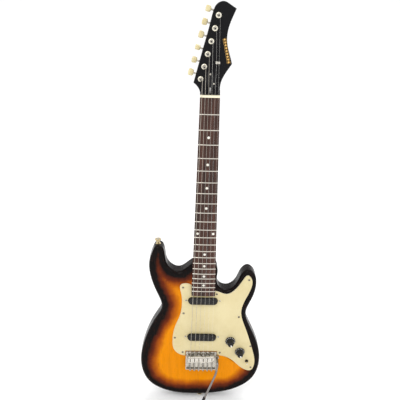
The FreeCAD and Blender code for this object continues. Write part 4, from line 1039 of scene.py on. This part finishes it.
# ---------------------------------------------------------------- sub-assemblies
@dataclass
class BodyShell:
    """The lacquered body, cut finely enough to carry its sunburst."""

    cell: float = 0.0055
    wall_step: float = 0.001
    level_slack: float = 0.0003
    rim_radius: float = 0.008
    run_gap: float = 0.003
    run_least: int = 120
    digits: int = 3

    def build(self) -> bpy.types.Object:
        """Slice the CAD body into cells and store each point's distance from the outline.

        Returns:
            The object.
        """
        shape = welded("body")
        low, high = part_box("body")
        for axis in (0, 2):
            normal = Vector((1.0 if axis == 0 else 0.0, 0.0, 1.0 if axis == 2 else 0.0))
            count = int((high[axis] - low[axis]) / self.cell)
            for index in range(1, count):
                point = low.copy()
                point[axis] = low[axis] + (high[axis] - low[axis]) * index / count
                geometry = shape.verts[:] + shape.edges[:] + shape.faces[:]
                bmesh.ops.bisect_plane(shape, geom=geometry, plane_co=point, plane_no=normal, dist=WELD)
        piece = settled("sunburst_body", shape)
        self.store_distance(piece.data)
        return dress(piece, SUNBURST, ROOT, ["body"], 40.0)

    def store_distance(self, mesh: bpy.types.Mesh) -> None:
        """Write the distance of each vertex from the outline, none on the sides.

        Args:
            mesh: the sliced mesh.
        """
        low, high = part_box("body")
        tree = self.outline_tree()
        values = []
        for vertex in mesh.vertices:
            distance = tree.find(Vector((vertex.co.x, 0.0, vertex.co.z)))[2]
            depth = min(vertex.co.y - low.y, high.y - vertex.co.y)
            values.append(max(distance - max(depth, 0.0), 0.0))
        attribute = mesh.attributes.new("rim_distance", "FLOAT", "POINT")
        attribute.data.foreach_set("value", values)

    def outline_tree(self) -> KDTree:
        """A search tree of points along the body's outer wall.

        Returns:
            A balanced tree of points at y = 0.
        """
        source = frame["nodes"]["body"].data
        front, back = self.rim_level(source, -1), self.rim_level(source, 1)
        spots = self.largest([spot for spot in front if self.has_near(back, spot)])
        LOG.info("body outline: %d points", len(spots))
        return self.tree_of(spots)

    def tree_of(self, spots: list[tuple[float, float]]) -> KDTree:
        """A balanced search tree of points at y = 0.

        Args:
            spots: (x, z) pairs.

        Returns:
            The tree, numbered as the pairs are.
        """
        tree = KDTree(len(spots))
        for index, (across, up) in enumerate(spots):
            tree.insert(Vector((across, 0.0, up)), index)
        tree.balance()
        return tree

    def largest(self, spots: list[tuple[float, float]]) -> list[tuple[float, float]]:
        """Leave out short runs of points, which are the walls of routed spaces.

        Args:
            spots: (x, z) pairs.

        Returns:
            The points of the long runs.
        """
        tree = self.tree_of(spots)
        seen: set[int] = set()
        kept: list[tuple[float, float]] = []
        for first in range(len(spots)):
            if first in seen:
                continue
            seen.add(first)
            run = [first]
            for index in run:
                place = Vector((spots[index][0], 0.0, spots[index][1]))
                for _, other, _ in tree.find_range(place, self.run_gap):
                    if other not in seen:
                        seen.add(other)
                        run.append(other)
            if len(run) >= self.run_least:
                kept.extend(spots[index] for index in run)
        return kept

    def rim_level(self, source: bpy.types.Mesh, side: int) -> set[tuple[float, float]]:
        """Points along the edges where the side wall meets a rounded rim.

        Args:
            source: the CAD body's mesh.
            side: -1 for the front rim and 1 for the back rim.

        Returns:
            (x, z) pairs on a fine grid.
        """
        level = side * (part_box("body")[1].y - self.rim_radius)
        spots = set()
        for edge in source.edges:
            first, second = (source.vertices[index].co for index in edge.vertices)
            if abs(first.y - level) > self.level_slack or abs(second.y - level) > self.level_slack:
                continue
            count = int((second - first).length / self.wall_step) + 1
            for step in range(count + 1):
                spot = first.lerp(second, step / count)
                spots.add((round(spot.x, self.digits), round(spot.z, self.digits)))
        return spots

    def has_near(self, spots: set[tuple[float, float]], spot: tuple[float, float]) -> bool:
        """Whether a grid point or one beside it is among the spots."""
        steps = (-self.wall_step, 0.0, self.wall_step)
        return any((round(spot[0] + across, self.digits), round(spot[1] + up, self.digits)) in spots
                   for across in steps for up in steps)


@dataclass
class Pickguard:
    """The cream guard with its paler bevelled edge and its screws."""

    bevel: float = 0.0011
    head: float = 0.0027
    head_rise: float = 0.0010
    flat: float = 0.98

    def build(self) -> None:
        """Make the guard, then its screws."""
        piece = soften("pickguard", "cream_guard", self.bevel, CREAM, ROOT, angle=30.0)
        piece.data.materials.append(CREAM_EDGE.make())
        for face in piece.data.polygons:
            face.material_index = 0 if abs(face.normal.y) > self.flat else 1
        screws = ScrewHead(self.head, self.head_rise, finish=DARK_SCREW)
        screws.heads("guard_screws", "pickguard_screws", ROOT)


@dataclass
class Pickup:
    """One pickup: a glossy cover and its winding."""

    place: str
    edge: float = 0.0016

    def build(self) -> None:
        """Round the cover and paint the winding under it."""
        soften(self.place + "_pickup_cover", self.place + "_cover", self.edge, BLACK, ROOT,
               4, 50.0, 30.0)
        paint(self.place + "_pickup_coil", COPPER)


@dataclass
class Knob:
    """A skirted knob with a fluted barrel, dial marks and a pointer."""

    node: str
    joint: str
    pointer: float
    lift: float = 0.0012
    flutes: int = 20
    flute_depth: float = 0.035
    marks: int = 11
    sweep: float = 250.0
    barrel: float = 0.0075
    skirt: float = 0.0125
    skirt_height: float = 0.0035
    height: float = 0.0165
    barrel_rows: tuple[int, int] = (8, 11)
    pointer_half: float = 0.0014
    mark_half: float = 0.00038
    pointer_rise: float = 0.0002
    mark_rise: float = 0.00012

    def build(self) -> None:
        """Make the knob and its marks; both ride on the knob's body."""
        centre = joint_place(self.joint)
        centre.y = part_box("pickguard")[0].y - self.lift
        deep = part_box(self.node)[1].y - centre.y
        out = Axis.FRONT.vector
        profile = [(0.0, -deep), (0.003, -deep), (0.003, 0.0), (self.skirt - 0.0004, 0.0),
                   (self.skirt, 0.0005), (self.skirt - 0.0002, 0.0011),
                   (self.barrel + 0.0018, self.skirt_height - 0.0006),
                   (self.barrel + 0.0007, self.skirt_height),
                   (self.barrel + 0.0002, self.skirt_height + 0.0007),
                   (self.barrel, self.skirt_height + 0.0014), (self.barrel - 0.0004, self.height - 0.0012),
                   (self.barrel - 0.0007, self.height - 0.0005), (self.barrel - 0.0013, self.height),
                   (self.barrel - 0.0022, self.height - 0.0002), (0.0, self.height - 0.0003)]
        piece = turned(self.node + "_black", profile, centre, out, 120, self.flute)
        dress(piece, BLACK, self.node, [self.node], 35.0)
        marks = self.dial(centre)
        dress(marks, WHITE_MARK, self.node, (), 20.0)

    def flute(self, angle: float, row: int) -> float:
        """The factor on the barrel's radius.

        Args:
            angle: round the barrel, in radians.
            row: the profile's index.

        Returns:
            One, or less in a flute.
        """
        if self.barrel_rows[0] <= row <= self.barrel_rows[1]:
            return 1.0 - self.flute_depth * max(0.0, math.cos(self.flutes * angle)) ** 2
        return 1.0

    def dial(self, centre: Vector) -> bpy.types.Object:
        """Short marks round the skirt and one pointer on the barrel.

        Args:
            centre: the knob's foot.

        Returns:
            The object.
        """
        vertices: list[Vector] = []
        faces: list[tuple[int, ...]] = []
        start = math.radians(self.pointer + 180 - self.sweep / 2)
        slope = [(self.barrel + 0.0024, self.skirt_height - 0.0008), (self.skirt - 0.0008, 0.00145)]
        for index in range(self.marks):
            angle = start + math.radians(self.sweep) * index / (self.marks - 1)
            self.bar(vertices, faces, centre, angle, slope, self.mark_half, self.mark_rise)
        top = [(0.0014, self.height), (self.barrel - 0.0012, self.height)]
        side = [(self.barrel - 0.0006, self.height - 0.0003),
                (self.barrel + 0.0003, self.skirt_height + 0.0016)]
        for line in (top, side):
            self.bar(vertices, faces, centre, math.radians(self.pointer), line, self.pointer_half,
                     self.pointer_rise)
        return outward(mesh_from(self.node + "_marks", vertices, faces))

    def bar(self, vertices: list[Vector], faces: list[tuple[int, ...]], centre: Vector, angle: float,
            line: Sequence[tuple[float, float]], half: float, rise: float) -> None:
        """Add a thin raised bar along a (radius, height) line at an angle.

        Args:
            vertices: the list to add to.
            faces: the list to add to.
            centre: the knob's foot.
            angle: in radians, from +X towards +Z.
            line: its two ends.
            half: half its width.
            rise: its thickness.
        """
        radial = Vector((math.cos(angle), 0.0, math.sin(angle)))
        across = Vector((-math.sin(angle), 0.0, math.cos(angle)))
        ends = [centre + radial * radius + Axis.FRONT.vector * height for radius, height in line]
        normal = (ends[1] - ends[0]).cross(across).normalized()
        if normal.dot(Axis.FRONT.vector + radial * 0.3) < 0:
            normal.negate()
        first = len(vertices)
        for level in (-rise, rise):
            for end in ends:
                for side in (-half, half):
                    vertices.append(end + across * side + normal * level)
        for corners in ((0, 1, 3, 2), (4, 6, 7, 5), (0, 4, 5, 1), (2, 3, 7, 6), (0, 2, 6, 4), (1, 5, 7, 3)):
            faces.append(tuple(first + corner for corner in corners))


@dataclass
class Bridge:
    """The tremolo bridge: plate, saddles, screws, springs and block."""

    plate_edge: float = 0.0005
    saddle_edge: float = 0.00035
    spring_wire: float = 0.00028
    spring_turns: int = 9

    def build(self) -> None:
        """Soften the plate and the saddles, wind the springs and paint the rest."""
        soften("bridge_plate", "bridge_top", self.plate_edge, NICKEL, BRIDGE)
        soften("saddles", "bent_saddles", self.saddle_edge, BRIGHT, BRIDGE)
        paint("saddle_screws", NICKEL)
        paint("block_screws", NICKEL)
        paint("tremolo_block", STEEL)
        coil = CoilSpring(self.spring_wire, self.spring_turns)
        springs = [coil.build("saddle_coil_%d" % index, low, high)
                   for index, (low, high) in enumerate(islands("saddle_springs"))]
        dress(joined("saddle_coils", springs), STEEL, BRIDGE, ["saddle_springs"], 60.0)
        ScrewHead(0.0034, 0.0009).heads("pivot_heads", "pivot_screws", ROOT)


@dataclass
class TremoloArm:
    """The arm, bent from one round bar, and its tip."""

    radius: float = 0.00275
    bend: float = 0.009
    drops: tuple[tuple[float, float, float], ...] = ((0.0, 0.0, 0.0), (-0.0002, -0.004, -0.007),
                                                     (-0.0036, -0.007, -0.029))
    tip_edge: float = 0.0008
    end_in: tuple[float, float, float] = (1.2, 1.0, 0.6)
    rise: float = 0.014
    set_back: float = 0.0025
    step_length: float = 0.006
    sides: int = 20

    def build(self) -> None:
        """Bend the bar along the CAD arm's route and round the tip."""
        low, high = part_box("tremolo_arm")
        joint = joint_place("arm_swing")
        foot = Vector((joint.x, high.y, joint.z))
        end = Vector([low[axis] + self.radius * self.end_in[axis] for axis in range(3)])
        crown = Vector((joint.x, end.y + self.rise - self.radius, joint.z))
        back = Vector((0.0, self.set_back, 0.0))
        route = [foot] + [crown + Vector(drop) + back for drop in self.drops] + [end]
        path = rounded(route, self.bend, self.step_length)
        bar = tube("bent_arm", path, [self.radius] * len(path), self.sides)
        dress(bar, ARM_CHROME, "tremolo_arm", ["tremolo_arm"], 50.0)
        soften("arm_tip", "arm_cap", self.tip_edge, BLACK, "tremolo_arm", 3, 50.0, 40.0)


@dataclass
class Neck:
    """The neck with its board, frets, dots and nut."""

    def build(self) -> None:
        """Paint each piece in its own finish."""
        paint("neck", NECK_LACQUER)
        paint("fingerboard", ROSEWOOD)
        paint("frets", FRET_METAL)
        paint("position_dots", PEARL)
        paint("nut", BONE)
        paint("truss_rod", STEEL)


@dataclass
class Tuner:
    """One tuner: a slotted post with its string's turns, and a button on its shaft."""

    number: int
    post: float = 0.003
    shaft: float = 0.0019
    collar: float = 0.003
    button_width: float = 0.0150
    button_depth: float = 0.0070
    button_length: float = 0.0120
    square: float = 3.2
    turns: float = 3.5
    twist: float = 20.0
    wind_steps: int = 20
    wind_pitch: float = 2.1
    rows: int = 18
    steps: int = 40
    well: float = 0.0021
    well_top: float = 0.0002
    well_foot: float = 0.0025

    def build(self, string_end: Vector, radius: float, finish: Finish) -> None:
        """Make the post, the string's turns and the button.

        Args:
            string_end: where the string meets the post.
            radius: the string's.
            finish: the string's.
        """
        self.make_post()
        self.make_turns(string_end, radius, finish)
        self.make_button()

    def make_post(self) -> None:
        """Turn the post with its waist, with a black plug in the string's well in its top as painted shade."""
        node = "tuner_post_%d" % self.number
        low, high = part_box(node)
        centre = joint_place(node + "_turn")
        top = Vector((centre.x, low.y, centre.z))
        length = high.y - low.y
        wide = self.post
        # The black plug in the post's top is painted shade: it stands for the dark inside the string's hole.
        shade_plug_profile = [(0.0, self.well_top), (self.well, self.well_top), (self.well, self.well_foot),
                  (0.0, self.well_foot)]
        well = turned(node + "_well", shade_plug_profile, top, Axis.BACK.vector, 24)
        dress(well, BLACK, node, (), 40.0)
        profile = [(0.0, 0.0035), (0.0014, 0.0035), (0.0016, 0.0005), (0.0018, 0.0001), (wide - 0.0005, 0.0),
                   (wide, 0.0005), (wide, 0.0020), (wide - 0.0005, 0.0027), (wide - 0.0005, 0.0046),
                   (wide, 0.0053), (wide, length), (0.0, length)]
        piece = turned(node + "_nickel", profile, top, Axis.BACK.vector, 48)
        dress(piece, NICKEL, node, [node], 40.0)

    def make_turns(self, string_end: Vector, radius: float, finish: Finish) -> None:
        """Wind the string's last turns round the post.

        Args:
            string_end: where the string meets the post.
            radius: the string's.
            finish: the string's.
        """
        body = "tuner_post_%d" % self.number
        centre = joint_place(body + "_turn")
        reach = string_end - centre
        start = math.atan2(reach.z, reach.x)
        around = self.post + radius
        drop = radius * self.wind_pitch
        points = []
        for index in range(int(self.turns * self.wind_steps) + 1):
            angle = start + 2 * math.pi * index / self.wind_steps
            level = string_end.y + drop * (1 + index / self.wind_steps)
            points.append(Vector((centre.x + around * math.cos(angle), level,
                                  centre.z + around * math.sin(angle))))
        piece = tube("string_turns_%d" % self.number, points, [radius] * len(points), 8)
        dress(piece, finish, body, (), 60.0)

    def make_button(self) -> None:
        """Make the shaft and the rounded button on its end."""
        node = "tuner_button_%d" % self.number
        axis = joint_axis(node + "_turn")
        centre = joint_place(node + "_turn")
        along = [(vertex.co - centre).dot(axis) for vertex in frame["nodes"][node].data.vertices]
        near, far = min(along), max(along)
        foot = far - self.button_length
        profile = [(0.0, near), (self.shaft, near), (self.shaft, foot - 0.0085), (self.collar, foot - 0.0083),
                   (self.collar, foot - 0.0062), (self.shaft + 0.0003, foot - 0.0058),
                   (self.shaft + 0.0003, foot + 0.001), (0.0, foot + 0.001)]
        shaft = turned("button_shaft_%d" % self.number, profile, centre, axis, 32)
        dress(shaft, NICKEL, node, (), 40.0)
        side = axis.cross(Axis.BACK.vector).normalized()
        turn = Matrix((side, axis.cross(side), axis)).transposed()
        turn = turn @ Matrix.Rotation(math.radians(self.twist), 3, "Z")
        steps = self.steps
        vertices: list[Vector] = []
        faces: list[tuple[int, ...]] = []
        for row in range(self.rows + 1):
            share = row / self.rows
            height = foot + self.button_length * share
            swell = max(0.0, 1 - abs(2 * share - 1) ** 5) ** 0.35
            waist = 0.80 + 0.20 * math.sin(math.pi * min(1.0, share * 1.25 + 0.1) / 2)
            for step in range(steps):
                angle = 2 * math.pi * step / steps
                cosine, sine = math.cos(angle), math.sin(angle)
                size = (abs(cosine) ** self.square + abs(sine) ** self.square) ** (-1 / self.square)
                across = self.button_width / 2 * size * cosine * max(swell, 0.06) * waist
                thick = self.button_depth / 2 * size * sine * max(swell, 0.06)
                vertices.append(centre + turn @ Vector((across, thick, height)))
        last = self.rows * steps
        for start in range(0, last, steps):
            faces.extend(band(range(start, start + steps), range(start + steps, start + 2 * steps)))
        faces.append(tuple(range(steps)))
        faces.append(tuple(range(last, last + steps)))
        button = outward(mesh_from("ivory_button_%d" % self.number, vertices, faces))
        dress(button, IVORY, node, [node], 50.0)


@dataclass
class Headstock:
    """What is on the headstock besides the tuners."""

    edge: float = 0.0006
    motif_steps: int = 9
    motif_low: tuple[float, float] = (0.0372, 0.0690)
    motif_high: tuple[float, float] = (0.0258, 0.1200)
    motif_rise: float = 0.0002
    motif_sunk: float = 0.00005
    lozenge_share: float = 0.44
    lozenge_half: float = 0.0023
    line_at: float = 0.0031
    line_half: float = 0.0002
    bushing_edge: float = 0.0004
    thin_edge: float = 0.0003

    def build(self) -> None:
        """Soften the metal, paint the cover and lay the gilt motif."""
        soften("tuner_housings", "gear_shells", self.edge, NICKEL, ROOT)
        soften("tuner_bushings", "post_bushings", self.bushing_edge, BUSHING, ROOT, 3)
        soften("truss_rod_cover", "rod_cover", self.thin_edge, BLACK, ROOT)
        soften("string_tree", "string_guide", self.thin_edge, BRIGHT, ROOT)
        ScrewHead(0.0021, 0.0008, 0.0003).heads("head_screws", "headstock_screws", ROOT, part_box("neck")[1].y)
        self.motif()

    def motif(self) -> None:
        """A row of plain gilt lozenges between two fine lines, on the face beside the tuners."""
        # The string guide stands on the headstock's face, so its rear level is the face's.
        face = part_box("string_tree")[1].y
        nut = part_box("nut")[0].z
        first = Vector((self.motif_low[0], face, nut + self.motif_low[1]))
        last = Vector((self.motif_high[0], face, nut + self.motif_high[1]))
        along = (last - first).normalized()
        across = along.cross(Axis.FRONT.vector)
        step = (last - first).length / self.motif_steps
        vertices: list[Vector] = []
        faces: list[tuple[int, ...]] = []
        shapes = []
        for index in range(self.motif_steps):
            middle = first + along * step * (index + 0.5)
            shapes.append([middle + along * step * self.lozenge_share, middle + across * self.lozenge_half,
                           middle - along * step * self.lozenge_share, middle - across * self.lozenge_half])
        for side in (-1, 1):
            edge = across * self.line_at * side
            half = across * self.line_half
            shapes.append([first + edge - half, last + edge - half, last + edge + half, first + edge + half])
        for shape in shapes:
            start = len(vertices)
            for level in (self.motif_sunk, -self.motif_rise):
                vertices.extend(corner + Vector((0.0, level, 0.0)) for corner in shape)
            faces.append((start + 3, start + 2, start + 1, start))
            faces.append((start + 4, start + 5, start + 6, start + 7))
            for index in range(4):
                following = (index + 1) % 4
                faces.append((start + index, start + following, start + 4 + following, start + 4 + index))
        piece = outward(mesh_from("gilt_motif", vertices, faces))
        dress(piece, GILT, ROOT, (), 20.0)


@dataclass
class Strings:
    """Six strings from the tremolo block over the saddles and the nut to their posts."""

    blend_length: float = 0.022
    anchor_rise: float = 0.0044
    foot_depth: float = 0.0002
    end_reach: float = 2.2
    near_slack: float = 0.0003
    bend: float = 0.0016
    step_length: float = 0.004
    sides: int = 10
    ends: list[Vector] = field(default_factory=list)

    def build(self) -> None:
        """Make each string as a tube along the CAD string's middle."""
        nut_low, nut_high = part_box("nut")
        tree_low, tree_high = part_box("string_tree")
        strings = sorted(solids_of("strings"), key=lambda points: min(points, key=lambda point: point.y).x)
        for index, points in enumerate(strings):
            self.one(index, points, (nut_low.z + nut_high.z) / 2, (tree_low.z + tree_high.z) / 2)

    def one(self, index: int, points: list[Vector], nut: float, tree: float) -> None:
        """Make one string.

        Args:
            index: its number from the lowest-sounding string.
            points: the CAD string's vertices.
            nut: the height of the nut's middle.
            tree: the height of the string guide.
        """
        radius = STRING_RADII[index]
        crest = min(points, key=lambda point: point.y).copy()
        crest.y += radius
        rear = max(point.y for point in points) - self.foot_depth
        tip = max(point.z for point in points) - radius * self.end_reach
        start = middle_of([point for point in points if point.y > rear])
        end = middle_of([point for point in points if point.z > tip])
        slack = radius * 2 + self.near_slack
        at_nut = middle_of([point for point in points if abs(point.z - nut) < slack])
        lift = Vector((start.x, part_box("bridge_plate")[1].y - self.anchor_rise, start.z))
        route = [start, lift, crest, at_nut]
        guided = [point for point in points if abs(point.z - tree) < radius * 2]
        if index >= STRINGS - 2 and guided:
            route.append(middle_of(guided))
        route.append(end)
        self.ends.append(end)
        path = rounded(route, self.bend, self.step_length)
        piece = tube("string_%d" % (index + 1), path, [radius] * len(path), self.sides)
        stretch(piece, string_finish(index), ["strings"] if index == 0 else [])


@dataclass
class Back:
    """What is on the back: the spring cover, the neck plate, and the springs under the cover."""

    edge: float = 0.0006
    wire: float = 0.0006
    turns: int = 34

    def build(self) -> None:
        """Make the cover, the plate and their screws, then the springs."""
        soften("rear_cover", "spring_cover", self.edge, CREAM, ROOT)
        soften("neck_plate", "bolt_plate", self.edge, BRIGHT, ROOT)
        ScrewHead(0.0027, 0.0009, finish=DARK_SCREW).heads("cover_heads", "cover_screws", ROOT, 0.0)
        ScrewHead(0.0042, 0.0012, 0.0006).heads("bolt_heads", "neck_screws", ROOT, 0.0)
        coil = CoilSpring(self.wire, self.turns)
        for index, (low, high) in enumerate(islands("tremolo_springs")):
            piece = coil.build("tremolo_coil_%d" % index, low, high)
            stretch(piece, STEEL, ["tremolo_springs"] if index == 0 else [])


@dataclass
class Fittings:
    """Strap buttons, jack, switch and the pieces under the guard."""

    finishes: dict[str, Finish] = field(default_factory=lambda: {
        "strap_buttons": BRASS, "strap_button_screws": NICKEL, "jack_cup": BRIGHT, "output_jack": NICKEL,
        "toggle_switch": DARK_NUT, "switch_lever": BRIGHT, "volume_pot": STEEL, "tone_pot": STEEL,
        "wiring": WIRE_RED, "spring_claw": STEEL, "claw_screws": NICKEL, "pickup_springs": STEEL})

    def build(self) -> None:
        """Paint each piece, and head the pickup screws."""
        for node, finish in self.finishes.items():
            paint(node, finish)
        ScrewHead(0.0022, 0.0009, 0.00035).heads("pickup_heads", "pickup_screws", ROOT)


# ---------------------------------------------------------------- studio
@dataclass
class Studio:
    """Floor, light and camera."""

    eye: tuple[float, float, float] = (-0.04216, -1.17926, 0.99244)
    ahead: tuple[float, float, float] = (0.02236961, 0.93570456, -0.35207467)
    up: tuple[float, float, float] = (-0.02140264, 0.35253029, 0.93555562)
    lens: float = 49.05
    floor_front: float = -4.0
    bend: float = 2.5
    bend_radius: float = 2.5
    wall_top: float = 7.0
    half_width: float = 7.0
    sky: float = 1.04
    curve_steps: int = 24
    sensor: float = 36.0
    clip: tuple[float, float] = (0.01, 100.0)

    def build(self) -> None:
        """Make the sweep, the lights and the camera."""
        self.sweep()
        self.lights()
        self.camera()
        bpy.context.scene.view_settings.view_transform = "Standard"

    def sweep(self) -> None:
        """A floor that curves up into a wall far behind."""
        line = [(self.floor_front, 0.0), (self.bend, 0.0)]
        for step in range(1, self.curve_steps + 1):
            angle = math.pi / 2 * step / self.curve_steps
            line.append((self.bend + self.bend_radius * math.sin(angle),
                         self.bend_radius * (1 - math.cos(angle))))
        line.append((self.bend + self.bend_radius, self.wall_top))
        vertices = []
        for side in (-self.half_width, self.half_width):
            vertices.extend(Vector((side, along, height)) for along, height in line)
        count = len(line)
        faces = [(index, index + 1, count + index + 1, count + index) for index in range(count - 1)]
        floor = mesh_from("studio_floor", vertices, faces)
        floor.data.materials.append(STUDIO_PAINT.make())
        shade(floor, 60.0)

    def lights(self) -> None:
        """A bright even sky, a large key from above and in front, a fill at the front right and a light from
        behind.
        """
        world = bpy.data.worlds.new("studio_sky")
        bpy.context.scene.world = world
        world.use_nodes = True
        sky = world.node_tree.nodes["Background"]
        sky.inputs["Color"].default_value = (1.0, 1.0, 1.0, 1.0)
        sky.inputs["Strength"].default_value = self.sky
        self.area("key", (-0.9, -1.9, 2.6), (0.0, 0.0, 0.45), 1.4, 24.0)
        self.area("fill", (1.8, -1.6, 1.3), (0.0, 0.0, 0.5), 1.2, 7.0)
        self.area("rim", (0.6, 1.4, 2.2), (0.0, 0.0, 0.5), 1.2, 14.0)

    def area(self, name: str, place: tuple[float, float, float], target: tuple[float, float, float],
             size: float, power: float) -> None:
        """Add a square area light that looks at a point.

        Args:
            name: the light's name.
            place: where it is.
            target: where it looks.
            size: its side.
            power: in watts.
        """
        light = bpy.data.lights.new(name, "AREA")
        light.energy = power
        light.size = size
        lamp = bpy.data.objects.new(name, light)
        lamp.location = place
        lamp.rotation_euler = (Vector(target) - Vector(place)).to_track_quat("-Z", "Y").to_euler()
        bpy.context.scene.collection.objects.link(lamp)

    def camera(self) -> None:
        """Stand the camera a little left of the guitar, looking down at it."""
        lens = bpy.data.cameras.new("camera")
        lens.lens = self.lens
        lens.sensor_width = self.sensor
        lens.clip_start, lens.clip_end = self.clip
        view = bpy.data.objects.new("camera", lens)
        ahead = Vector(self.ahead).normalized()
        right = ahead.cross(Vector(self.up)).normalized()
        upright = right.cross(ahead)
        turn = Matrix((right, upright, -ahead)).transposed()
        view.matrix_world = Matrix.Translation(self.eye) @ turn.to_4x4()
        bpy.context.scene.collection.objects.link(view)
        bpy.context.scene.camera = view


def main() -> None:
    """Build the guitar's looks in order."""
    logging.basicConfig(level=logging.INFO, format="%(name)s %(message)s")
    Studio().build()
    BodyShell().build()
    Pickguard().build()
    Pickup("neck").build()
    Pickup("bridge").build()
    Knob("volume_knob", "volume_turn", KNOB_POINTER).build()
    Knob("tone_knob", "tone_turn", KNOB_POINTER).build()
    Bridge().build()
    TremoloArm().build()
    Neck().build()
    Headstock().build()
    strings = Strings()
    strings.build()
    for index, end in enumerate(strings.ends):
        tuner = Tuner(index + 1, twist=BUTTON_TWISTS[index])
        tuner.build(end, STRING_RADII[index], string_finish(index))
    Back().build()
    Fittings().build()


if __name__ == "__main__":
    main()
